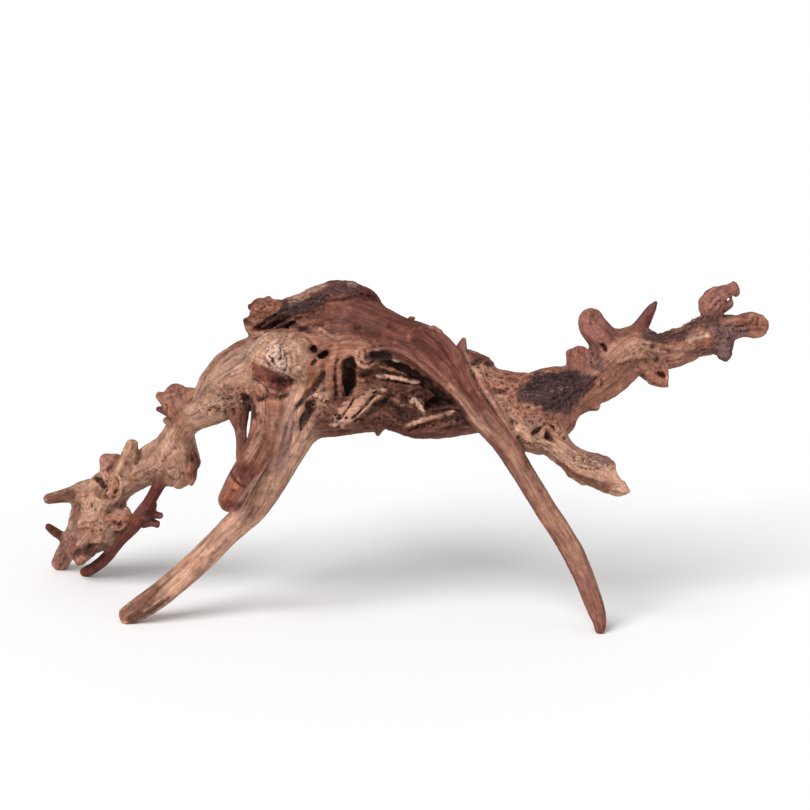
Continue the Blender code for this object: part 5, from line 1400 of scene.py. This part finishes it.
class PaintedWood:
    """The colour, texture masks and painted shade of each point: the limbs' finish, patches, strokes in
    front, and painted shade in hollows.
    """

    def __init__(self, points, normals, faces, limbs):
        self.points = points
        self.faces = faces
        self.normals = normals
        self.colour = np.zeros((len(points), 3))
        self.feel_and_shade = np.zeros((len(points), len(FEELS) + 1))
        self.limb_finish(limbs)

    def limb_finish(self, limbs):
        """Blends the finishes of the limbs, and keeps their straightened places for the grain."""
        count = len(self.points)
        total = np.full((count, 1), 1e-6)
        shares = np.zeros((count, GRAIN_CHANNELS))
        self.grain = np.zeros((GRAIN_CHANNELS, count, 3))
        best = np.zeros((GRAIN_CHANNELS, count))
        covers = {}
        for name, limb in limbs.items():
            chosen, gap, straight = limb_places(limb, self.points, SHARE_MARGIN)
            share = limb_share(gap)
            covers[name] = (chosen, share, straight)
            tone = linear(PALETTE[FINISHES.get(name, "brown")])
            self.colour[chosen] += share[:, None] * tone
            total[chosen, 0] += share
        self.colour /= total
        channels = grain_channels(covers, count)
        for name, (chosen, share, straight) in covers.items():
            channel = channels[name]
            shares[chosen, channel] += share
            stronger = share > best[channel, chosen]
            take = chosen[stronger]
            best[channel, take] = share[stronger]
            self.grain[channel, take] = straight[stronger]
        self.shares = shares / np.maximum(shares.sum(1, keepdims=True), 1e-6)

    def lay(self, cover, colour):
        """Mixes a palette colour over what is there, by its cover."""
        self.colour += cover[:, None] * (linear(PALETTE[colour]) - self.colour)

    def patches(self):
        """Patches of other tones all round, drawn by seeded noise."""
        for colour, size, level, strength, seed in PATCHES:
            drift = Noise(seed).layers(self.points / size, 3)
            self.lay(strength * eased(drift, level, level + PATCH_EDGE), colour)

    def strokes(self):
        """Strokes of colour, among them painted shade in recesses and a painted highlight along the rib and
        the right leg, and the cover of the textures that the material shows.
        """
        front = SeenFront(self.points, self.normals)
        for colour, strength, points in PAINT:
            self.lay(strength * front.cover(points), colour)
        for kind, strength, points in TEXTURES:
            if kind in FEELS:
                column = FEELS.index(kind)
                self.feel_and_shade[:, column] += strength * front.cover(points) * (1 - self.feel_and_shade[:, column])

    def hollows(self):
        """Painted shade darkens the hollows by how deep they lie; ridges are painted paler."""
        deep = np.zeros(len(self.points))
        for passes, start, end, strength in (FINE_HOLLOWS, WIDE_HOLLOWS):
            depth = hollowness(self.points, self.faces, self.normals, passes)
            deep += eased(depth, start, end) * strength
        # painted shade: the hollows darkened towards the dark brown, by their depth below their
        # surroundings
        self.lay(np.clip(deep, 0.0, DARKEST), "painted_shade")
        # the same painted shade, kept for the material to darken the hollows once more
        self.feel_and_shade[:, -1] = np.clip(deep, 0.0, 1.0)
        # ridges are painted paler by their height over their surroundings; then all colours are brought to
        # PAINT_LEVEL
        height = -hollowness(self.points, self.faces, self.normals, FINE_HOLLOWS[0])
        self.colour *= PAINT_LEVEL * (1 + RIDGE_PALING_GAIN * eased(height, *RIDGE_PALING)[:, None])


def grain_channels(covers, count):
    """A channel for each limb, so that limbs which share places have channels of their own."""
    names = list(covers)
    dense = np.zeros((len(names), count), np.float32)
    for row, name in enumerate(names):
        chosen, share, _ = covers[name]
        dense[row, chosen] = np.minimum(share, 0.5)
    overlap = dense @ dense.T
    channels = {}
    for row in np.argsort(-np.diag(overlap)):
        clash = np.zeros(GRAIN_CHANNELS)
        for other, channel in channels.items():
            clash[channel] += overlap[row, names.index(other)]
        channels[names[row]] = int(np.argmin(clash))
    return channels


def make_mesh(name, points, faces):
    """A mesh object of faces with equal numbers of corners, its places given in millimetres."""
    mesh = bpy.data.meshes.new(name)
    mesh.vertices.add(len(points))
    mesh.vertices.foreach_set("co", (points * MILLIMETRE).astype(np.float32).ravel())
    mesh.loops.add(faces.size)
    mesh.loops.foreach_set("vertex_index", faces.astype(np.int32).ravel())
    mesh.polygons.add(len(faces))
    mesh.polygons.foreach_set("loop_start", np.arange(0, faces.size, faces.shape[1], dtype=np.int32))
    mesh.update(calc_edges=True)
    mesh.validate()
    mesh.shade_smooth()
    obj = bpy.data.objects.new(name, mesh)
    bpy.context.scene.collection.objects.link(obj)
    return obj


def thinned(obj, most):
    """Collapses the mesh to at most so many triangles, where that shows least."""
    triangles = sum(len(polygon.vertices) - 2 for polygon in obj.data.polygons)
    thinner = obj.modifiers.new("thinner", "DECIMATE")
    thinner.ratio = min(1.0, most / triangles)
    thinner.use_collapse_triangulate = True
    graph = bpy.context.evaluated_depsgraph_get()
    mesh = bpy.data.meshes.new_from_object(obj.evaluated_get(graph))
    full = obj.data
    obj.modifiers.clear()
    obj.data = mesh
    mesh.name = full.name
    bpy.data.meshes.remove(full)
    mesh.shade_smooth()


def read_rows(items, key, kind, width):
    """What a mesh holds under key for its items, width numbers to each, in rows of three."""
    values = np.empty(len(items) * width, kind)
    items.foreach_get(key, values)
    return values.reshape(-1, 3)


def mesh_arrays(mesh):
    """Points in millimetres, triangles and normals of a mesh of triangles."""
    points = read_rows(mesh.vertices, "co", np.float32, 3).astype(float) * METRE
    normals = read_rows(mesh.vertex_normals, "vector", np.float32, 3).astype(float)
    return points, read_rows(mesh.loops, "vertex_index", np.int32, 1), normals


def keep_on_points(mesh, name, kind, values):
    """Stores one value for each point as an attribute: a colour or a vector."""
    layer = mesh.attributes.new(name, kind, "POINT")
    if kind == "FLOAT_COLOR":
        values = np.column_stack([values, np.ones(len(values))])
        layer.data.foreach_set("color", values.astype(np.float32).ravel())
    else:
        layer.data.foreach_set("vector", values.astype(np.float32).ravel())


def inside_box(points):
    """The points held inside the box that the root was built to."""
    clearance = (EDGE_CLEARANCE, EDGE_CLEARANCE, 0.0)
    return np.clip(points, BOX_LOW + clearance, BOX_HIGH - EDGE_CLEARANCE)


def build_root():
    """The finished wood: grown, weathered, thinned and painted."""
    limbs = limb_shapes()
    field = grown_field(limbs)
    add_forms(field, HOLLOWS)
    add_forms(field, FORMS)
    field.level_floor()
    field.close_ties()
    points, faces = largest_part(*field.surface())
    points = relaxed(points, faces, RELAX_PASSES, RELAX_SHARE)
    points = weathered(points, normals_of(points, faces), limbs)
    root = make_mesh("weathered_root", inside_box(points), faces)
    thinned(root, MOST_TRIANGLES)
    points, faces, normals = mesh_arrays(root.data)
    wood = PaintedWood(points, normals, faces, limbs)
    wood.patches()
    wood.strokes()
    wood.hollows()
    keep_on_points(root.data, "paint", "FLOAT_COLOR", wood.colour)
    keep_on_points(root.data, "feel_and_shade", "FLOAT_COLOR", wood.feel_and_shade)
    keep_on_points(root.data, "grain_share", "FLOAT_COLOR", wood.shares)
    for channel in range(GRAIN_CHANNELS):
        keep_on_points(root.data, f"grain_{channel}", "FLOAT_VECTOR", wood.grain[channel])
    return root


class Socket:
    """A value in the shader, with arithmetic; colours and places are vectors."""

    def __init__(self, shader, output):
        self.shader = shader
        self.output = output

    def math(self, operation, first, second):
        """A Math node on two values, of which one is this socket."""
        return self.shader.node("ShaderNodeMath", {"operation": operation}, [first, second])

    def __add__(self, other):
        return self.math("ADD", self, other)

    def __sub__(self, other):
        return self.math("SUBTRACT", self, other)

    def __rsub__(self, other):
        return self.math("SUBTRACT", other, self)

    def __mul__(self, other):
        return self.math("MULTIPLY", self, other)

    __radd__ = __add__
    __rmul__ = __mul__

    def ramp(self, low, high):
        """0 at low, 1 at high, a smooth step between; low may lie above high."""
        return self.shader.node(
            "ShaderNodeMapRange", {"interpolation_type": "SMOOTHSTEP"}, {0: self, 1: low, 2: high})


class Shader:
    """The node tree of one material."""

    def __init__(self, name):
        self.material = bpy.data.materials.new(name)
        self.material.use_nodes = True
        self.tree = self.material.node_tree
        self.surface = self.tree.nodes["Principled BSDF"]

    def node(self, kind, settings, inputs, output=0):
        """Adds a node with its settings and inputs, and gives back one of its outputs."""
        node = self.tree.nodes.new(kind)
        for key, value in settings.items():
            setattr(node, key, value)
        pairs = inputs.items() if isinstance(inputs, dict) else enumerate(inputs)
        for key, value in pairs:
            self.feed(node.inputs[key], value)
        return Socket(self, node.outputs[output])

    def feed(self, socket, value):
        """Gives a node's socket a link or a constant."""
        if isinstance(value, Socket):
            self.tree.links.new(value.output, socket)
        else:
            socket.default_value = value

    def attribute(self, name, output="Color"):
        """What the mesh keeps on its points under that name."""
        return self.node("ShaderNodeAttribute", {"attribute_name": name}, {}, output)

    def split(self, colour):
        """The three channels of a colour."""
        first = self.node("ShaderNodeSeparateColor", {}, [colour])
        return [Socket(self, output) for output in first.output.node.outputs]

    def stretched(self, places, scales):
        """Places times a scale for each axis."""
        return self.node("ShaderNodeVectorMath", {"operation": "MULTIPLY"}, [places, scales])

    def noise(self, places, scale, detail, roughness, distortion):
        """Layered noise, about 0.5 on average."""
        return self.node("ShaderNodeTexNoise", {}, {
            "Vector": places, "Scale": scale, "Detail": detail, "Roughness": roughness,
            "Distortion": distortion})

    def cracks(self, places):
        """Distance to the edges of irregular cells one unit wide."""
        return self.node(
            "ShaderNodeTexVoronoi", {"feature": "DISTANCE_TO_EDGE"}, {"Vector": places, "Scale": 1.0})

    def mix(self, factor, a, b):
        """Colour a, turning into colour b as the factor goes from 0 to 1."""
        return self.node("ShaderNodeMix", {"data_type": "RGBA"}, {0: factor, 6: a, 7: b}, 2)

    def scaled(self, colour, value):
        """A colour times a value."""
        return self.node("ShaderNodeVectorMath", {"operation": "SCALE"}, {0: colour, 3: value})


class Grain:
    """Patterns drawn out along the limbs, blended from the grain channels by their shares."""

    def __init__(self, shader):
        self.shader = shader
        shares = shader.split(shader.attribute("grain_share"))
        self.channels = [
            (shares[channel], shader.attribute(f"grain_{channel}", "Vector"))
            for channel in range(GRAIN_CHANNELS)]

    def blended(self, across, along, pattern):
        """The pattern in straightened wood, so many to a millimetre across and along."""
        return sum(
            share * pattern(self.shader.stretched(places, (across, across, along)))
            for share, places in self.channels)

    def noise(self, across, along, *look):
        """Noise along the grain, with its detail, roughness and distortion."""
        return self.blended(across, along, lambda places: self.shader.noise(places, 1.0, *look))

    def cracks(self, across, along):
        """Distance to the edges of long cells."""
        return self.blended(across, along, self.shader.cracks)


def shade(name):
    """A palette colour for the shader."""
    return (*linear(PALETTE[name]), 1.0)


def wood_material():
    """Weathered wood: grain that runs along each limb, dark pores, bark and drying cracks.

    The paint is lightened and darkened by streaks, lines and fibres of the grain and by a mottle
    that runs no way. Greyed, reddened, pored and cracked wood, bark and the painted shade of the
    hollows are then mixed over it in turn, each where its own mask is.
    """
    shader = Shader("weathered_wood")
    paint = shader.attribute("paint")
    # the third channel is the painted shade of the hollows
    bark, cracked, painted_shade = shader.split(shader.attribute("feel_and_shade"))
    grain = Grain(shader)
    streaks = grain.noise(*STREAKS)
    lines = grain.noise(*LINES)
    fibres = grain.noise(*FIBRES)
    splits = grain.cracks(*SPLITS)
    body = shader.stretched(shader.node("ShaderNodeTexCoord", {}, {}, "Object"), (METRE, METRE, METRE))
    mottle = shader.noise(body, *MOTTLE)
    speckle = shader.noise(body, *SPECKLE)
    crumble = shader.noise(body, *CRUMBS)

    tone = (0.52 + 0.26 * streaks.ramp(0.34, 0.66) + 0.38 * lines.ramp(0.38, 0.62)
            + 0.34 * fibres.ramp(0.35, 0.65))
    worn = 0.76 + 0.28 * mottle.ramp(0.35, 0.65) + 0.20 * speckle.ramp(0.35, 0.65)
    base = shader.scaled(paint, tone * worn)
    grey = shader.scaled(shade("mauve")[:3], tone)
    greyed = shader.mix(0.18 * mottle.ramp(0.54, 0.72), base, grey)
    red = shader.scaled(shade("umber")[:3], tone)
    reddened = shader.mix(0.45 * streaks.ramp(0.46, 0.32), greyed, red)
    grooves = lines.ramp(0.44, 0.34) * speckle.ramp(0.36, 0.56)
    pored = shader.mix(0.34 * grooves, reddened, shade("dark"))
    split_line = cracked * splits.ramp(0.055, 0.012)
    checked = shader.mix(0.85 * split_line, pored, shade("black"))

    flakes = lines.ramp(0.60, 0.70) * speckle.ramp(0.42, 0.58)
    gaps = 1.0 - lines.ramp(0.38, 0.48) * crumble.ramp(0.34, 0.46)
    scales = shader.mix(flakes, shader.scaled(paint, 0.55 + 0.9 * speckle), shade("bark_pale"))
    bark_colour = shader.mix(0.85 * gaps, scales, shade("black"))
    barky = (bark * 1.8 - crumble.ramp(0.25, 0.75)).ramp(0.2, 0.6)
    barked = shader.mix(barky, checked, bark_colour)
    # painted shade: the hollows darkened once more towards the dark brown, flecked by the speckle
    final = shader.mix(0.5 * painted_shade * speckle.ramp(0.35, 0.6), barked, shade("painted_shade"))

    relief = (0.30 * fibres + 0.55 * lines + 0.4 * streaks + 0.25 * speckle * (0.3 + bark)
              + 0.9 * bark * crumble + 0.6 * splits.ramp(0.0, 0.06) * cracked)
    bump = shader.node("ShaderNodeBump", {}, {
        "Strength": BUMP_STRENGTH, "Distance": MILLIMETRE, "Height": relief})
    sockets = shader.surface.inputs
    shader.feed(sockets["Base Color"], final)
    shader.feed(sockets["Roughness"], 0.56 + 0.24 * speckle + 0.15 * bark)
    shader.feed(sockets["Normal"], bump)
    shader.feed(sockets["Specular IOR Level"], SHEEN)
    return shader.material


def soft_lamp(name, aim, width, strength):
    """An even light that shines along aim, as soft as a wide lamp of so many degrees."""
    lamp = bpy.data.objects.new(name, bpy.data.lights.new(name, "SUN"))
    lamp.data.angle = math.radians(width)
    lamp.data.energy = strength
    lamp.rotation_euler = Vector(aim).to_track_quat("-Z", "Y").to_euler()
    bpy.context.scene.collection.objects.link(lamp)


def studio_floor():
    """A wide pale floor."""
    paper = Shader("studio_paper")
    paper.feed(paper.surface.inputs["Base Color"], (PAPER_SHADE, PAPER_SHADE, PAPER_SHADE, 1))
    paper.feed(paper.surface.inputs["Roughness"], PAPER_ROUGHNESS)
    mesh = bpy.data.meshes.new("studio_floor")
    corners = [
        (-FLOOR_HALF_WIDTH, FLOOR_FRONT, 0), (FLOOR_HALF_WIDTH, FLOOR_FRONT, 0),
        (FLOOR_HALF_WIDTH, FLOOR_BACK, 0), (-FLOOR_HALF_WIDTH, FLOOR_BACK, 0)]
    mesh.from_pydata(corners, [], [(0, 1, 2, 3)])
    mesh.materials.append(paper.material)
    floor = bpy.data.objects.new("studio_floor", mesh)
    bpy.context.scene.collection.objects.link(floor)


def studio_light():
    """Even pale air, and a soft lamp from each side."""
    world = bpy.data.worlds.new("studio_air")
    world.use_nodes = True
    air = world.node_tree.nodes["Background"]
    air.inputs["Color"].default_value = (1, 1, 1, 1)
    air.inputs["Strength"].default_value = AIR_STRENGTH
    bpy.context.scene.world = world
    for name, lamp in LAMPS.items():
        soft_lamp(name, *lamp)


def photograph_camera():
    """The camera at the eye, which looks at the middle of the picture."""
    focus = Vector((-MIDDLE[0], -MIDDLE[1], FLOOR_BELOW_AXIS)) * MILLIMETRE
    camera = bpy.data.objects.new("camera", bpy.data.cameras.new("camera"))
    bpy.context.scene.collection.objects.link(camera)
    camera.location = focus + Vector(TOWARD) * EYE_DISTANCE * MILLIMETRE
    camera.rotation_euler = (math.pi / 2 - LEAN, 0, 0)
    camera.data.sensor_width = SENSOR_WIDTH
    camera.data.lens = SENSOR_WIDTH * EYE_DISTANCE / PICTURE_WIDTH
    bpy.context.scene.camera = camera
    bpy.context.scene.view_settings.view_transform = "Standard"


root = build_root()
root.data.materials.append(wood_material())
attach(root, "root")
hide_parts("driftwood_root")
studio_floor()
studio_light()
photograph_camera()
